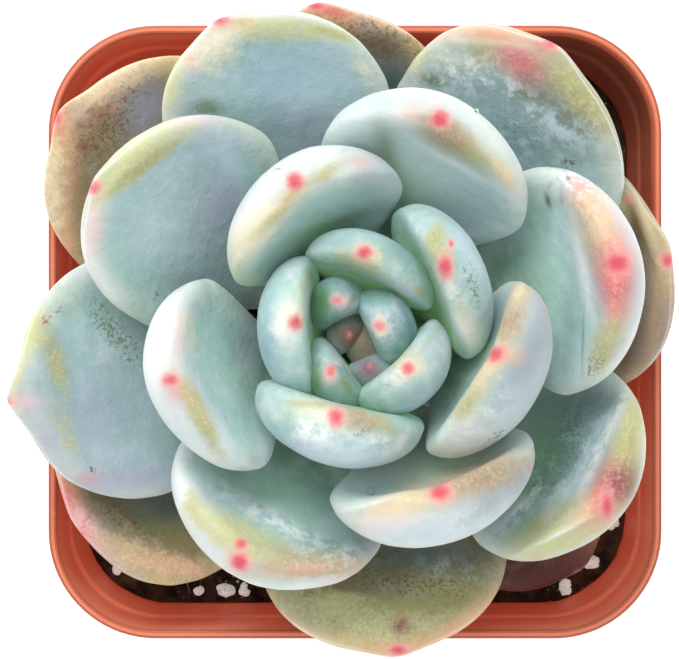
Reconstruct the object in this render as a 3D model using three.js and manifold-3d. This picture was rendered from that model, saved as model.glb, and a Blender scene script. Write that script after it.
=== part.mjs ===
// A potted rosette succulent: 28 fleshy leaves in a spiral on a short stem, set in potting mix in a small
// square plastic nursery pot. Millimetres, +Z up. The origin is the centre of the pot's underside.
import * as THREE from "three";
import { mergeVertices } from "three/addons/utils/BufferGeometryUtils.js";
import Module from "manifold-3d";

const wasm = await Module();
wasm.setup();

// Pot
const POT_SIDE = 57; // outer side of the square rim
const POT_HEIGHT = 55;
const POT_CORNER = 10; // corner radius of the rim, seen from above
const LIP_WIDTH = 0.8; // width of the rim's top edge
const LIP_ROUND = 0.25; // eased outer edge of the lip
const COLLAR_HEIGHT = 7; // height of the collar that stiffens the rim
const COLLAR_DRAFT = 0.4; // how far the collar leans in from its top to its foot
const COLLAR_STEP = 0.4; // how far the body stands back under the collar, outside
const LEDGE = 0.25; // ledge inside, level with the collar's foot
const WALL = 0.9;
const FLOOR = 1.4;
const BASE_SIDE = 41; // outer side of the square underside
const BASE_CHAMFER = 0.8; // eased edge round the underside
const LEDGE_BEVEL = 0.3; // slope of the inside ledge
const DRAIN_RADIUS = 3;
const DRAIN_OFFSET = 12.5; // from the pot's centre to each drain, along X and along Y
const CHANNEL_WIDTH = 3; // shallow channels under the floor, from drain to drain
const CHANNEL_DEPTH = 0.6;
const CHANNEL_ENDS = 7; // bare length left at the middle of each side, so that the base stays closed

// Potting mix
const SOIL_DEPTH = 10.5; // from the rim down to the mix
const SOIL_RELIEF = 0.35; // height of its crumbly waves
const GRAIN_SIZES = [0.65, 1.05]; // smallest and largest radius of a perlite grain
const GRAINS_STREWN = 9;
const GRAIN_SPACING = 4; // least distance between two strewn grains
const GRAINS_SEEN = [[-22.6, -22.6], [-14.9, -25.0], [-12.6, -24.8], [-10.6, -25.0], [20.2, -24.6],
  [23.0, -22.2], [25.0, -18.4]]; // the white grains that show beside the leaves

// Stem
const STEM_X = 0.5;
const STEM_Y = -1.0;
const STEM_TOP = [6.4, 1.1]; // height over the rim, radius
const STEM_FOOT = [-9, 4.4];
const STEM_ROOT = [-22, 3.2]; // lower end, in the mix

const GAP = 0.3; // clearance between neighbouring solids
const RIM = POT_HEIGHT; // the height that leaf heights count from

// How each ring of leaves is formed. cup: how far the edges rise over the midline. blunt: the exponent of
// the rounded end. full: where along the leaf it is widest, from 0 at the foot to 1 at the tip. rings and
// sectors: facets along and round a leaf.
const RINGS = {
  bud: { cup: 0.15, blunt: 2.0, full: 0.6, rings: 7, sectors: 8, colour: 0x8fb5a4 },
  heart: { cup: 0.7, blunt: 2.1, full: 0.57, rings: 8, sectors: 10, colour: 0x93b9a8 },
  inner: { cup: 1.3, blunt: 2.1, full: 0.6, rings: 9, sectors: 12, colour: 0x9fc4b4 },
  middle: { cup: 2.1, blunt: 2.25, full: 0.64, rings: 9, sectors: 12, colour: 0xb4cfc6 },
  outer: { cup: 1.6, blunt: 2.4, full: 0.63, rings: 9, sectors: 12, colour: 0xa7bcb4 },
  lowest: { cup: 1.1, blunt: 2.4, full: 0.61, rings: 9, sectors: 12, colour: 0xb39c80 },
};

// The leaves, youngest first. Columns: ring, azimuth (degrees from +X), reach of the tip from the stem's
// axis, height of the tip over the rim, rise of the tip (degrees), width, thickness, twist (degrees),
// sideways shift of the tip, height of the foot over the rim, length of the point, slant of its end.
const LEAF_TABLE = [
  ["bud", 143, 1.5, 13.0, 92, 4.2, 2.8, 0, 0.0, 7.0, 0.1, 0],
  ["bud", 295, 2.3, 13.0, 95, 5.2, 3.4, 0, 0.0, 6.4, 0.1, 0],
  ["heart", 37, 2.5, 15.0, 98, 7.2, 4.2, -12, 0.4, 5.8, 0.1, 0],
  ["heart", 232, 3.8, 15.0, 98, 7.4, 4.0, -14, -0.3, 5.2, 0.1, 0],
  ["heart", 122, 4.2, 15.0, 95, 5.4, 4.0, -8, -0.2, 4.6, 0.1, 0],
  ["inner", 327, 4.7, 17.0, 102, 10.2, 4.6, -12, 0.4, 4.0, 0.2, 0],
  ["inner", 169, 6.4, 17.0, 98, 13.0, 4.8, 12, -0.6, 3.4, 0.2, 0],
  ["inner", 253, 7.0, 18.5, 107, 15.2, 5.6, 3, 0.0, 2.8, 0.2, 0],
  ["inner", 80, 8.0, 17.0, 86, 12.0, 4.0, -12, 1.2, 2.3, 0.2, 0],
  ["inner", 37, 9.9, 18.5, 103, 14.6, 4.8, -11, 1.2, 1.8, 0.2, 0],
  ["middle", 345, 12.1, 19.0, 112, 17.0, 5.8, -12, 1.9, 1.3, 0.2, 0],
  ["middle", 113, 15.2, 18.5, 82, 17.0, 5.8, 8, -0.4, 0.8, 0.2, 0],
  ["middle", 297, 15.0, 18.5, 116, 18.6, 5.6, -10, -0.3, 0.3, 0.2, 0],
  ["middle", 194, 17.1, 18.5, 77, 17.6, 5.8, 4, -1.0, -0.2, 0.2, 0],
  ["middle", 69, 21.0, 17.5, 80, 19.2, 5.8, 0, 1.0, -0.7, 0.2, 0],
  ["middle", 242, 21.9, 14.0, 72, 20.2, 5.6, 0, -0.2, -1.2, 0.3, 0],
  ["middle", 17, 23.9, 16.5, 80, 20.6, 5.6, -8, -0.3, -1.7, 0.3, 0],
  ["middle", 328, 26.1, 12.5, 82, 19.8, 5.4, 0, 0.8, -2.2, 0.4, 0],
  ["outer", 144, 27.4, 14.0, 44, 20.2, 5.0, 0, 2.0, -2.7, 0.6, -1.2],
  ["outer", 110, 31.4, 10.5, 42, 20.6, 4.8, 0, 2.2, -3.5, 0.8, -1.6],
  ["outer", 52, 31.7, 9.5, 46, 23.8, 4.8, 0, 2.2, -4.4, 0.8, 0],
  ["outer", 188, 31.9, 10.5, 36, 22.4, 5.0, 0, 0.5, -4.8, 1.6, 0],
  ["lowest", 19, 29.2, 6.4, 50, 23.2, 4.4, 0, -0.6, -5.6, 0.8, 0],
  ["lowest", 209, 30.8, 4.5, 38, 24.2, 4.6, 0, 1.4, -6.3, 0.5, 0],
  ["lowest", 276, 28.7, 4.8, 38, 23.0, 4.6, 0, 0.3, -6.6, 0.8, 0],
  ["lowest", 96, 31.2, 4.9, 36, 21.6, 4.2, 0, 0.6, -6.8, 1.0, 0],
  ["lowest", 139, 34.6, 4.8, 34, 23.2, 4.2, 0, 2.0, -7.1, 1.2, -1.6],
  ["lowest", 315, 29.8, -3.0, 14, 17.6, 4.0, 0, 0.0, -7.2, 0.6, 0],
];
const FOOT_WIDTH = 0.22; // a leaf's width at its foot, as a share of its full width
const FOOT_THICKNESS = 0.42;
const NECK = 0.14; // share of a leaf's length that stays as narrow as its foot
const FOOT_LENGTH = 1.2; // how far a foot runs on towards the stem before it is trimmed to it
const FACE_SHARE = 0.4; // share of the thickness over the midline, the rest bulges out under it
const MIDLINE_PULL = 0.38; // handle length of the midline's curve, as a share of its chord
const POINT_SPREAD = 0.22; // half width of the pointed tip, as a share of half the leaf's width
const END_FULLNESS = 2.8; // exponent of the end's thickness: the higher, the blunter its edge
const EDGE_ROUND = 0.85; // exponents of a section's outline: 1 is an oval, less is squarer
const FACE_ROUND = 0.8;

const radians = THREE.MathUtils.degToRad;
const ease = (from, to, value) => THREE.MathUtils.smoothstep(value, from, to);
const mix = THREE.MathUtils.lerp;

// A closed skin through rings of points that all have the same count, with a fan over the first and last
// ring. The rings run anticlockwise seen from the last ring's side.
function skinOver(rings, firstPole, lastPole) {
  const count = rings[0].length;
  const points = rings.flat();
  const first = points.push(firstPole) - 1;
  const last = points.push(lastPole) - 1;
  const faces = [];
  for (let ring = 0; ring < rings.length; ring += 1) {
    for (let step = 0; step < count; step += 1) {
      const a = ring * count + step;
      const b = ring * count + ((step + 1) % count);
      if (ring === 0) faces.push(first, b, a);
      if (ring === rings.length - 1) faces.push(a, b, last);
      else faces.push(a, b, b + count, a, b + count, a + count);
    }
  }
  const geometry = new THREE.BufferGeometry();
  const places = points.flatMap((point) => point.toArray());
  geometry.setAttribute("position", new THREE.Float32BufferAttribute(places, 3));
  geometry.setIndex(faces);
  return geometry;
}

// The solid that a closed geometry bounds.
function solidOf(geometry) {
  const bare = new THREE.BufferGeometry();
  bare.setAttribute("position", geometry.getAttribute("position"));
  bare.setIndex(geometry.getIndex());
  const merged = mergeVertices(bare, 1e-5);
  return new wasm.Manifold(new wasm.Mesh({
    numProp: 3,
    vertProperties: Float32Array.from(merged.getAttribute("position").array),
    triVerts: Uint32Array.from(merged.getIndex().array),
  }));
}

function geometryOf(solid) {
  const mesh = solid.getMesh();
  const geometry = new THREE.BufferGeometry();
  geometry.setAttribute("position", new THREE.Float32BufferAttribute(mesh.vertProperties, mesh.numProp));
  geometry.setIndex(Array.from(mesh.triVerts));
  return geometry;
}

function largestPiece(solid) {
  return solid.decompose().reduce((best, piece) => (piece.volume() > best.volume() ? piece : best));
}

// One level of a rounded square, seen from above, anticlockwise.
function squareRing(half, corner, height) {
  const stepsPerCorner = 5;
  const points = [];
  for (let quarter = 0; quarter < 4; quarter += 1) {
    for (let step = 0; step <= stepsPerCorner; step += 1) {
      const angle = ((quarter + step / stepsPerCorner) * Math.PI) / 2;
      const toward = (quarter + 0.5) * (Math.PI / 2);
      const x = Math.sign(Math.cos(toward)) * (half - corner) + corner * Math.cos(angle);
      const y = Math.sign(Math.sin(toward)) * (half - corner) + corner * Math.sin(angle);
      points.push(new THREE.Vector3(x, y, height));
    }
  }
  return points;
}

// Half the outer width of the pot's body and its corner radius, at a height under the collar.
function bodyLevel(height) {
  const under = RIM - COLLAR_HEIGHT;
  const upperHalf = POT_SIDE / 2 - COLLAR_DRAFT - COLLAR_STEP;
  const half = mix(BASE_SIDE / 2, upperHalf, height / under);
  return { half, corner: POT_CORNER * (half / (POT_SIDE / 2)) };
}

// One level of the collar, a given distance inside the rim's outer side.
function collarRing(inset, height) {
  return squareRing(POT_SIDE / 2 - inset, POT_CORNER - inset, height);
}

// One level of the body, a given distance inside its outer side.
function bodyRing(inset, height) {
  const { half, corner } = bodyLevel(height);
  return squareRing(half - inset, corner - inset, height);
}

// The pot: one moulded shell, from the middle of the underside up the outside, over the lip, down inside.
function potSolid() {
  const under = RIM - COLLAR_HEIGHT;
  const ledge = under + WALL;
  const base = bodyLevel(0);
  const ledgeInset = POT_SIDE / 2 - (bodyLevel(ledge).half - WALL + LEDGE);
  const rings = [
    squareRing(base.half - BASE_CHAMFER, base.corner - BASE_CHAMFER, 0),
    bodyRing(0, BASE_CHAMFER),
    bodyRing(0, under),
    collarRing(COLLAR_DRAFT, under),
    collarRing(0, RIM - LIP_ROUND),
    collarRing(LIP_ROUND, RIM),
    collarRing(LIP_WIDTH, RIM),
    collarRing(ledgeInset, ledge),
    bodyRing(WALL, ledge - LEDGE_BEVEL),
    bodyRing(WALL, FLOOR),
  ];
  let pot = solidOf(skinOver(rings, new THREE.Vector3(0, 0, 0), new THREE.Vector3(0, 0, FLOOR)));
  const drain = new THREE.CylinderGeometry(DRAIN_RADIUS, DRAIN_RADIUS, 4 * FLOOR, 20).rotateX(Math.PI / 2);
  const channelLength = BASE_SIDE - 2 * CHANNEL_ENDS;
  const channel = new THREE.BoxGeometry(channelLength, CHANNEL_WIDTH, 2 * CHANNEL_DEPTH);
  for (const side of [-1, 1]) {
    pot = pot.subtract(solidOf(channel.clone().translate(0, side * DRAIN_OFFSET, 0)));
    pot = pot.subtract(solidOf(channel.clone().rotateZ(Math.PI / 2).translate(side * DRAIN_OFFSET, 0, 0)));
    for (const end of [-1, 1]) {
      pot = pot.subtract(solidOf(drain.clone().translate(side * DRAIN_OFFSET, end * DRAIN_OFFSET, 0)));
    }
  }
  return pot;
}

// The stem's radius at a height over the rim.
function stemRadius(height) {
  const [[topHeight, topRadius], [footHeight, footRadius]] = [STEM_TOP, STEM_FOOT];
  const share = THREE.MathUtils.clamp((height - footHeight) / (topHeight - footHeight), 0, 1);
  return mix(footRadius, topRadius, share);
}

// The stem, grown on all sides by a clearance where it is used as a cutter.
function stemSolid(grow) {
  const profile = [
    new THREE.Vector2(0, STEM_ROOT[0] - grow),
    new THREE.Vector2(STEM_ROOT[1] + grow, STEM_ROOT[0] - grow),
    new THREE.Vector2(STEM_FOOT[1] + grow, STEM_FOOT[0]),
    new THREE.Vector2(STEM_TOP[1] + grow, STEM_TOP[0] + grow),
    new THREE.Vector2(0, STEM_TOP[0] + grow),
  ];
  const lathe = new THREE.LatheGeometry(profile, 18).rotateX(Math.PI / 2);
  return solidOf(lathe.translate(STEM_X, STEM_Y, RIM));
}

// Repeatable draws between 0 and 1.
function seededDraws(seed) {
  let state = seed;
  return () => {
    state = (state * 16807) % 2147483647;
    return state / 2147483647;
  };
}

// The potting mix: it fills the pot up to its wavy top, carries the perlite grains, has the stem's hole.
function soilSolid() {
  const clear = WALL + GAP;
  const top = RIM - SOIL_DEPTH;
  const edge = bodyLevel(top);
  const wave = (x, y) => Math.sin(0.9 * x + 1.3 * Math.sin(0.5 * y)) * Math.cos(0.8 * y - 0.4 * x);
  const rings = [bodyRing(clear, FLOOR + GAP)];
  for (const share of [1, 0.91, 0.82, 0.72, 0.58, 0.4]) {
    const ring = squareRing((edge.half - clear) * share, (edge.corner - clear) * share, top);
    for (const point of ring) point.z += SOIL_RELIEF * wave(point.x, point.y);
    rings.push(ring);
  }
  let soil = solidOf(skinOver(rings, new THREE.Vector3(0, 0, FLOOR + GAP), new THREE.Vector3(0, 0, top)));
  const draw = seededDraws(41);
  const reach = edge.half - clear - 4 * GRAIN_SIZES[1];
  const places = [...GRAINS_SEEN];
  while (places.length < GRAINS_SEEN.length + GRAINS_STREWN) {
    const place = [mix(-reach, reach, draw()), mix(-reach, reach, draw())];
    const apart = places.every(([x, y]) => Math.hypot(x - place[0], y - place[1]) > GRAIN_SPACING);
    if (apart) places.push(place);
  }
  for (const [x, y] of places) {
    const size = mix(...GRAIN_SIZES, draw());
    const grain = new THREE.IcosahedronGeometry(size, 0).rotateX(6 * draw()).rotateY(6 * draw());
    soil = soil.add(solidOf(grain.translate(x, y, top + SOIL_RELIEF * wave(x, y) + 0.2 * size)));
  }
  return largestPiece(soil.subtract(stemSolid(GAP)));
}

// A leaf's skin, swept along a midline that leaves the stem, lifts and ends in a small point. Each section
// is a flattened oval, fuller below than above, with its edges raised. grow makes it larger on all sides.
function leafSkin(leaf, grow) {
  const out = new THREE.Vector3(Math.cos(leaf.azimuth), Math.sin(leaf.azimuth), 0);
  const side = new THREE.Vector3(-out.y, out.x, 0);
  const up = new THREE.Vector3(0, 0, 1);
  const foot = new THREE.Vector2(stemRadius(leaf.foot) + GAP, leaf.foot);
  const lift = new THREE.Vector2(Math.cos(leaf.rise), Math.sin(leaf.rise));
  const tip = new THREE.Vector2(leaf.reach, leaf.top).addScaledVector(lift, -leaf.point);
  const chord = tip.clone().sub(foot);
  const leave = THREE.MathUtils.clamp(2 * chord.angle() - leaf.rise, radians(-30), radians(85));
  const pull = MIDLINE_PULL * chord.length();
  const leaving = new THREE.Vector2(Math.cos(leave), Math.sin(leave));
  const footHandle = foot.clone().addScaledVector(leaving, pull);
  const tipHandle = tip.clone().addScaledVector(lift, -pull);
  const midline = new THREE.CubicBezierCurve(foot, footHandle, tipHandle, tip);
  const section = (s, behind) => {
    const end = THREE.MathUtils.clamp((s - leaf.full) / (1 - leaf.full), 0, 1);
    const body = mix(FOOT_WIDTH, 1, ease(NECK, leaf.full, s));
    const spare = end < 1 ? grow : 0;
    const half = (leaf.width / 2) * body * (1 - end ** leaf.blunt) ** (1 / leaf.blunt) + spare;
    const swell = mix(FOOT_THICKNESS, 1, ease(0, leaf.full + 0.1, s));
    const thick = leaf.thickness * swell * (1 - end ** END_FULLNESS) ** (1 / END_FULLNESS) + 2 * spare;
    const at = midline.getPoint(s);
    const along = midline.getTangent(s);
    const ahead = out.clone().multiplyScalar(along.x).addScaledVector(up, along.y);
    const face = out.clone().multiplyScalar(-along.y).addScaledVector(up, along.x);
    const twist = leaf.twist * ease(0, 0.6, s);
    const wide = side.clone().multiplyScalar(Math.cos(twist)).addScaledVector(face, Math.sin(twist));
    const proud = face.clone().multiplyScalar(Math.cos(twist)).addScaledVector(side, -Math.sin(twist));
    const point = leaf.point * Math.exp(-((half / (POINT_SPREAD * leaf.width * 0.5)) ** 2));
    const centre = new THREE.Vector3(STEM_X, STEM_Y, RIM);
    centre.addScaledVector(out, at.x).addScaledVector(up, at.y);
    centre.addScaledVector(side, leaf.shift * end ** 1.5).addScaledVector(ahead, point - behind);
    const ring = [];
    for (let step = 0; step < leaf.sectors; step += 1) {
      const turn = (2 * Math.PI * step) / leaf.sectors;
      const across = Math.sign(Math.cos(turn)) * Math.abs(Math.cos(turn)) ** EDGE_ROUND;
      const share = Math.sin(turn) > 0 ? FACE_SHARE : 1 - FACE_SHARE;
      const over = share * Math.sign(Math.sin(turn)) * Math.abs(Math.sin(turn)) ** FACE_ROUND;
      const edge = leaf.cup * (half / (leaf.width / 2)) * across ** 2;
      const slant = leaf.slant * across * (half / (leaf.width / 2)) * ease(0.1, 1, s);
      ring.push(centre.clone().addScaledVector(wide, half * across)
        .addScaledVector(proud, thick * over + edge).addScaledVector(ahead, slant));
    }
    return { ring, centre };
  };
  const root = section(0, FOOT_LENGTH);
  const rings = [root.ring];
  const straight = Math.round(leaf.rings / 2);
  const rounded = leaf.rings - straight;
  for (let step = 0; step < straight; step += 1) rings.push(section((leaf.full * step) / straight, 0).ring);
  for (let step = 0; step < rounded; step += 1) {
    const s = leaf.full + (1 - leaf.full) * Math.sin(((step / rounded) * Math.PI) / 2);
    rings.push(section(s, 0).ring);
  }
  return skinOver(rings, root.centre, section(1, 0).centre);
}

function leafFrom([ring, azimuth, reach, top, rise, width, thickness, twist, shift, foot, point, slant]) {
  return {
    ...RINGS[ring], ring, azimuth: radians(azimuth), reach, top, rise: radians(rise), width, thickness,
    twist: radians(twist), shift, foot, point, slant,
  };
}

// Each leaf is trimmed to the stem and to the younger leaves that press on it, with the clearance between.
function rosette() {
  const stemCutter = stemSolid(GAP);
  const leaves = [];
  const cutters = [];
  for (const leaf of LEAF_TABLE.map(leafFrom)) {
    let solid = solidOf(leafSkin(leaf, 0)).subtract(stemCutter);
    for (const younger of cutters) {
      if (solid.intersect(younger).volume() > 0) solid = solid.subtract(younger);
    }
    leaves.push({ leaf, solid: largestPiece(solid) });
    cutters.push(solidOf(leafSkin(leaf, GAP)));
  }
  return leaves;
}

const object = new THREE.Group();

function addPiece(name, solid, colour, roughness) {
  const material = new THREE.MeshStandardMaterial({ color: colour, roughness, metalness: 0 });
  const mesh = new THREE.Mesh(geometryOf(solid), material);
  mesh.name = name;
  object.add(mesh);
}

addPiece("pot", potSolid(), 0xb5532f, 0.5);
addPiece("soil", soilSolid(), 0x33261d, 0.95);
addPiece("stem", stemSolid(0), 0x8a9a6a, 0.7);
for (const [index, { leaf, solid }] of rosette().entries()) {
  addPiece(`leaf_${String(index + 1).padStart(2, "0")}`, solid, leaf.colour, 0.6);
}

export default object;
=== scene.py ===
import bmesh
import bpy
import numpy as np
from mathutils import Matrix


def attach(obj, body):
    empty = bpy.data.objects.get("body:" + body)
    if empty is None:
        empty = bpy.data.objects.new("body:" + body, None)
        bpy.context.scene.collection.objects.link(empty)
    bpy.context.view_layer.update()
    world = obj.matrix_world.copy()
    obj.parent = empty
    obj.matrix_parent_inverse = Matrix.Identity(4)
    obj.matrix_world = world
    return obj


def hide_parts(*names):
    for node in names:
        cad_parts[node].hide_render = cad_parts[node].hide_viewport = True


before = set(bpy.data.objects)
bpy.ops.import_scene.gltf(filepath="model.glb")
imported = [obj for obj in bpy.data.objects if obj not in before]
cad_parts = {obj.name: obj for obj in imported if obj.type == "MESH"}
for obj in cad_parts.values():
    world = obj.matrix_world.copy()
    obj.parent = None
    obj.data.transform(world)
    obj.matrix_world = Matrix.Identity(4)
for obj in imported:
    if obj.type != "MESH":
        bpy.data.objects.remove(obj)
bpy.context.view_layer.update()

ROOT = "root"
MM = 0.001

# Camera. A long lens straight above the rosette, so that the near leaves hardly grow over the far ones. The
# marks on the leaves and the water beads are placed by where they show in its picture, in pixels, as they
# were read off.
PICTURE = (679, 659)
CAMERA_AT = (-1.44, 0.23, 315.0)
PIXELS_AT_ONE = 2800.0  # pixels across a thing as wide as its distance from the lens
SENSOR = 36.0


def seen_at(points):
    """Where points show in the picture: the pinhole rule, offset over distance below the lens."""
    below = PIXELS_AT_ONE / (CAMERA_AT[2] - points[..., 2])
    across = PICTURE[0] / 2 + (points[..., 0] - CAMERA_AT[0]) * below
    down = PICTURE[1] / 2 - (points[..., 1] - CAMERA_AT[1]) * below
    return np.stack([across, down], axis=-1)


lens = bpy.data.cameras.new("overhead_camera")
lens.sensor_fit = "HORIZONTAL"
lens.sensor_width = SENSOR
lens.lens = SENSOR * PIXELS_AT_ONE / PICTURE[0]
lens.clip_start = 0.01
camera = bpy.data.objects.new("overhead_camera", lens)
camera.location = [value * MM for value in CAMERA_AT]
bpy.context.scene.collection.objects.link(camera)
bpy.context.scene.camera = camera

# Studio. A white table that is softly lit from below too, an even white surround, and one big soft window
# up and to the left of the picture.
FLOOR_SIDE = 6.0
WINDOW_AT = (-0.18, 0.52, 0.60)
WINDOW_SIDE = 0.42
WINDOW_WATTS = 3.5
TABLE_GLOW = 0.5
SURROUND_STRENGTH = 0.83


def linear(red, green, blue):
    """A colour given in 0 to 255 display steps, as the linear light that shaders take."""
    share = np.array([red, green, blue]) / 255
    light = np.where(share <= 0.04045, share / 12.92, ((share + 0.055) / 1.055) ** 2.4)
    return (*(float(value) for value in light), 1.0)


def put(socket, value):
    """Links a node's output to a socket, or sets the socket to a plain value."""
    if isinstance(value, bpy.types.NodeSocket):
        socket.id_data.links.new(value, socket)
    else:
        socket.default_value = value


class Finish:
    """A procedural material as it is put together: each method adds one node and returns its output."""

    def __init__(self, name):
        self.material = bpy.data.materials.new(name)
        self.material.use_nodes = True
        self.tree = self.material.node_tree
        self.shader = self.tree.nodes["Principled BSDF"]

    def set(self, **sockets):
        """Sets or links sockets of the shader, named with _ for a space."""
        for name, value in sockets.items():
            put(self.shader.inputs[name.replace("_", " ")], value)

    def node(self, kind, inputs=(), output=0, **settings):
        node = self.tree.nodes.new(kind)
        for name, value in settings.items():
            setattr(node, name, value)
        for key, value in dict(inputs).items():
            put(node.inputs[key], value)
        return node.outputs[output]

    def place(self):
        return self.node("ShaderNodeTexCoord", output="Object")

    def read(self, name, output="Fac"):
        return self.node("ShaderNodeAttribute", output=output, attribute_name=name)

    def axis(self, vector, name):
        return self.node("ShaderNodeSeparateXYZ", {"Vector": vector}, name)

    def stretch(self, vector, scale):
        return self.node("ShaderNodeMapping", {"Vector": vector, "Scale": scale})

    def noise(self, vector, scale, detail=3.0, rough=0.55):
        sockets = {"Vector": vector, "Scale": scale, "Detail": detail, "Roughness": rough}
        return self.node("ShaderNodeTexNoise", sockets)

    def cells(self, vector, scale):
        return self.node("ShaderNodeTexVoronoi", {"Vector": vector, "Scale": scale}, "Distance")

    def math(self, operation, a, b=0.0, clamp=False):
        return self.node("ShaderNodeMath", {0: a, 1: b}, operation=operation, use_clamp=clamp)

    def plus(self, a, b, clamp=False):
        return self.math("ADD", a, b, clamp)

    def minus(self, a, b):
        return self.math("SUBTRACT", a, b)

    def times(self, a, b):
        return self.math("MULTIPLY", a, b)

    def absolute(self, a):
        return self.math("ABSOLUTE", a)

    def ease(self, value, low, high, to_low=0.0, to_high=1.0):
        """A smooth step from to_low to to_high as value goes from low to high."""
        sockets = {"Value": value, "From Min": low, "From Max": high, "To Min": to_low, "To Max": to_high}
        return self.node("ShaderNodeMapRange", sockets, interpolation_type="SMOOTHSTEP")

    def mix(self, share, a, b):
        """The colour a, or b where share is 1."""
        node = self.tree.nodes.new("ShaderNodeMix")
        node.data_type = "RGBA"
        for index, value in ((0, share), (6, a), (7, b)):
            put(node.inputs[index], value)
        return node.outputs[2]

    def bump(self, height, strength, distance):
        sockets = {"Height": height, "Strength": strength, "Distance": distance}
        put(self.shader.inputs["Normal"], self.node("ShaderNodeBump", sockets))


def add_mesh(name, points, faces, finish=None):
    """A smooth-shaded mesh object at the origin, from points in millimetres and lists of corner numbers."""
    mesh = bpy.data.meshes.new(name)
    mesh.from_pydata((np.asarray(points) * MM).tolist(), [], faces)
    mesh.polygons.foreach_set("use_smooth", np.ones(len(mesh.polygons), dtype=bool))
    mesh.update()
    piece = bpy.data.objects.new(name, mesh)
    bpy.context.scene.collection.objects.link(piece)
    if finish:
        mesh.materials.append(finish.material)
    return piece


table_white = Finish("white_table")
grain = table_white.noise(table_white.place(), 9.0)
table_white.set(Base_Color=table_white.mix(grain, linear(233, 233, 231), linear(240, 240, 239)))
table_white.set(Roughness=0.8, Emission_Color=(1.0, 1.0, 1.0, 1.0), Emission_Strength=TABLE_GLOW)
half_floor = FLOOR_SIDE / 2 / MM
floor = add_mesh(
    "white_table",
    [(-half_floor, -half_floor, 0), (half_floor, -half_floor, 0), (half_floor, half_floor, 0),
     (-half_floor, half_floor, 0)],
    [(0, 1, 2, 3)],
    table_white,
)

surround = bpy.data.worlds.new("white_surround")
surround.use_nodes = True
sky = surround.node_tree.nodes["Background"]
sky.inputs["Color"].default_value = (0.98, 0.99, 1.0, 1.0)
sky.inputs["Strength"].default_value = SURROUND_STRENGTH
bpy.context.scene.world = surround
bpy.context.scene.view_settings.view_transform = "Standard"

window = bpy.data.lights.new("soft_window", "AREA")
window.shape = "SQUARE"
window.size = WINDOW_SIDE
window.energy = WINDOW_WATTS
window.color = (1.0, 0.985, 0.96)
window_stand = bpy.data.objects.new("soft_window", window)
window_stand.location = WINDOW_AT
aim = -np.array(WINDOW_AT)
window_stand.rotation_euler = (
    float(np.arctan2(np.hypot(aim[0], aim[1]), -aim[2])), 0.0, float(np.arctan2(aim[1], aim[0]) - np.pi / 2))
bpy.context.scene.collection.objects.link(window_stand)

# Pot. One injection-moulded shell of brick-coloured plastic: a tapered square body, a collar that stiffens
# the rim, a small ledge inside it, and a floor with four drain holes joined by shallow channels.
RIM = 55.0
RIM_HALF = 28.5
RIM_CORNER = 10.0
UNDER_COLLAR = 48.0
BASE_HALF = 20.5
BODY_TOP_HALF = 27.7
COLLAR_TAPER = 0.4
WALL = 0.9
LIP = 0.8
LEDGE_STEP = 0.25
LEDGE_DROP = 0.3
POT_FLOOR = 1.4
FLOOR_SQUARE = (10.25, 3.6)  # half width and corner of the square that each flat side of the floor closes on
MID_WALL = 0.4  # depth under the outer side that parts the wall's outside from its inside
DRAIN_RADIUS = 3.0
DRAIN_OFFSET = 12.5
CHANNEL_WIDTH = 3.0
CHANNEL_DEPTH = 0.6
CHANNEL_LENGTH = 27.0
CORNER_STEPS = 20
FILLET_LIMIT = 0.45  # share of a side that one fillet may take up
CORNER_SHADE_FROM_TO = (0.018, 0.050)  # metres along x + y over which the painted shade on the inner wall sets in


def body_half(height):
    """Half the outer width of the tapered body at a height."""
    return BASE_HALF + (BODY_TOP_HALF - BASE_HALF) * height / UNDER_COLLAR


def body_at(inset, height):
    """Half width, corner radius and height of the body's outline, an inset inside its outer side."""
    half = body_half(height)
    return (half - inset, RIM_CORNER * half / RIM_HALF - inset, height)


def collar_at(inset, height):
    return (RIM_HALF - inset, RIM_CORNER - inset, height)


def filleted(profile, radius, steps):
    """A polyline with each inner corner rounded: from radius before it to radius after it, the points run
    along a parabola whose handle is the corner."""
    profile = np.array(profile, dtype=float)
    share = np.linspace(0, 1, steps)[:, None]
    rows = [profile[:1]]
    for before, corner, after in zip(profile[:-2], profile[1:-1], profile[2:]):
        reach_in = min(radius, FILLET_LIMIT * np.linalg.norm(before - corner))
        reach_out = min(radius, FILLET_LIMIT * np.linalg.norm(after - corner))
        enter = corner + (before - corner) / np.linalg.norm(before - corner) * reach_in
        leave = corner + (after - corner) / np.linalg.norm(after - corner) * reach_out
        rows.append((1 - share) ** 2 * enter + 2 * share * (1 - share) * corner + share ** 2 * leave)
    return np.vstack([*rows, profile[-1:]])


def square_rings(profile, steps=CORNER_STEPS):
    """Rounded squares, one for each (half width, corner radius, height): quarter circles round the four
    corner centres, joined by straight sides with a point in their middle."""
    turn = (np.arange(4)[:, None] + np.linspace(0, 1, steps)) * np.pi / 2
    toward = (np.arange(4)[:, None] + 0.5) * np.pi / 2
    half, corner, height = (np.asarray(profile)[:, column, None] for column in range(3))
    turn_flat, sign_x, sign_y = (
        np.broadcast_to(part, turn.shape).ravel()[None]
        for part in (turn, np.sign(np.cos(toward)), np.sign(np.sin(toward))))
    x = sign_x * (half - corner) + corner * np.cos(turn_flat)
    y = sign_y * (half - corner) + corner * np.sin(turn_flat)
    return np.stack([x, y, np.broadcast_to(height, x.shape)], axis=-1)


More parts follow.
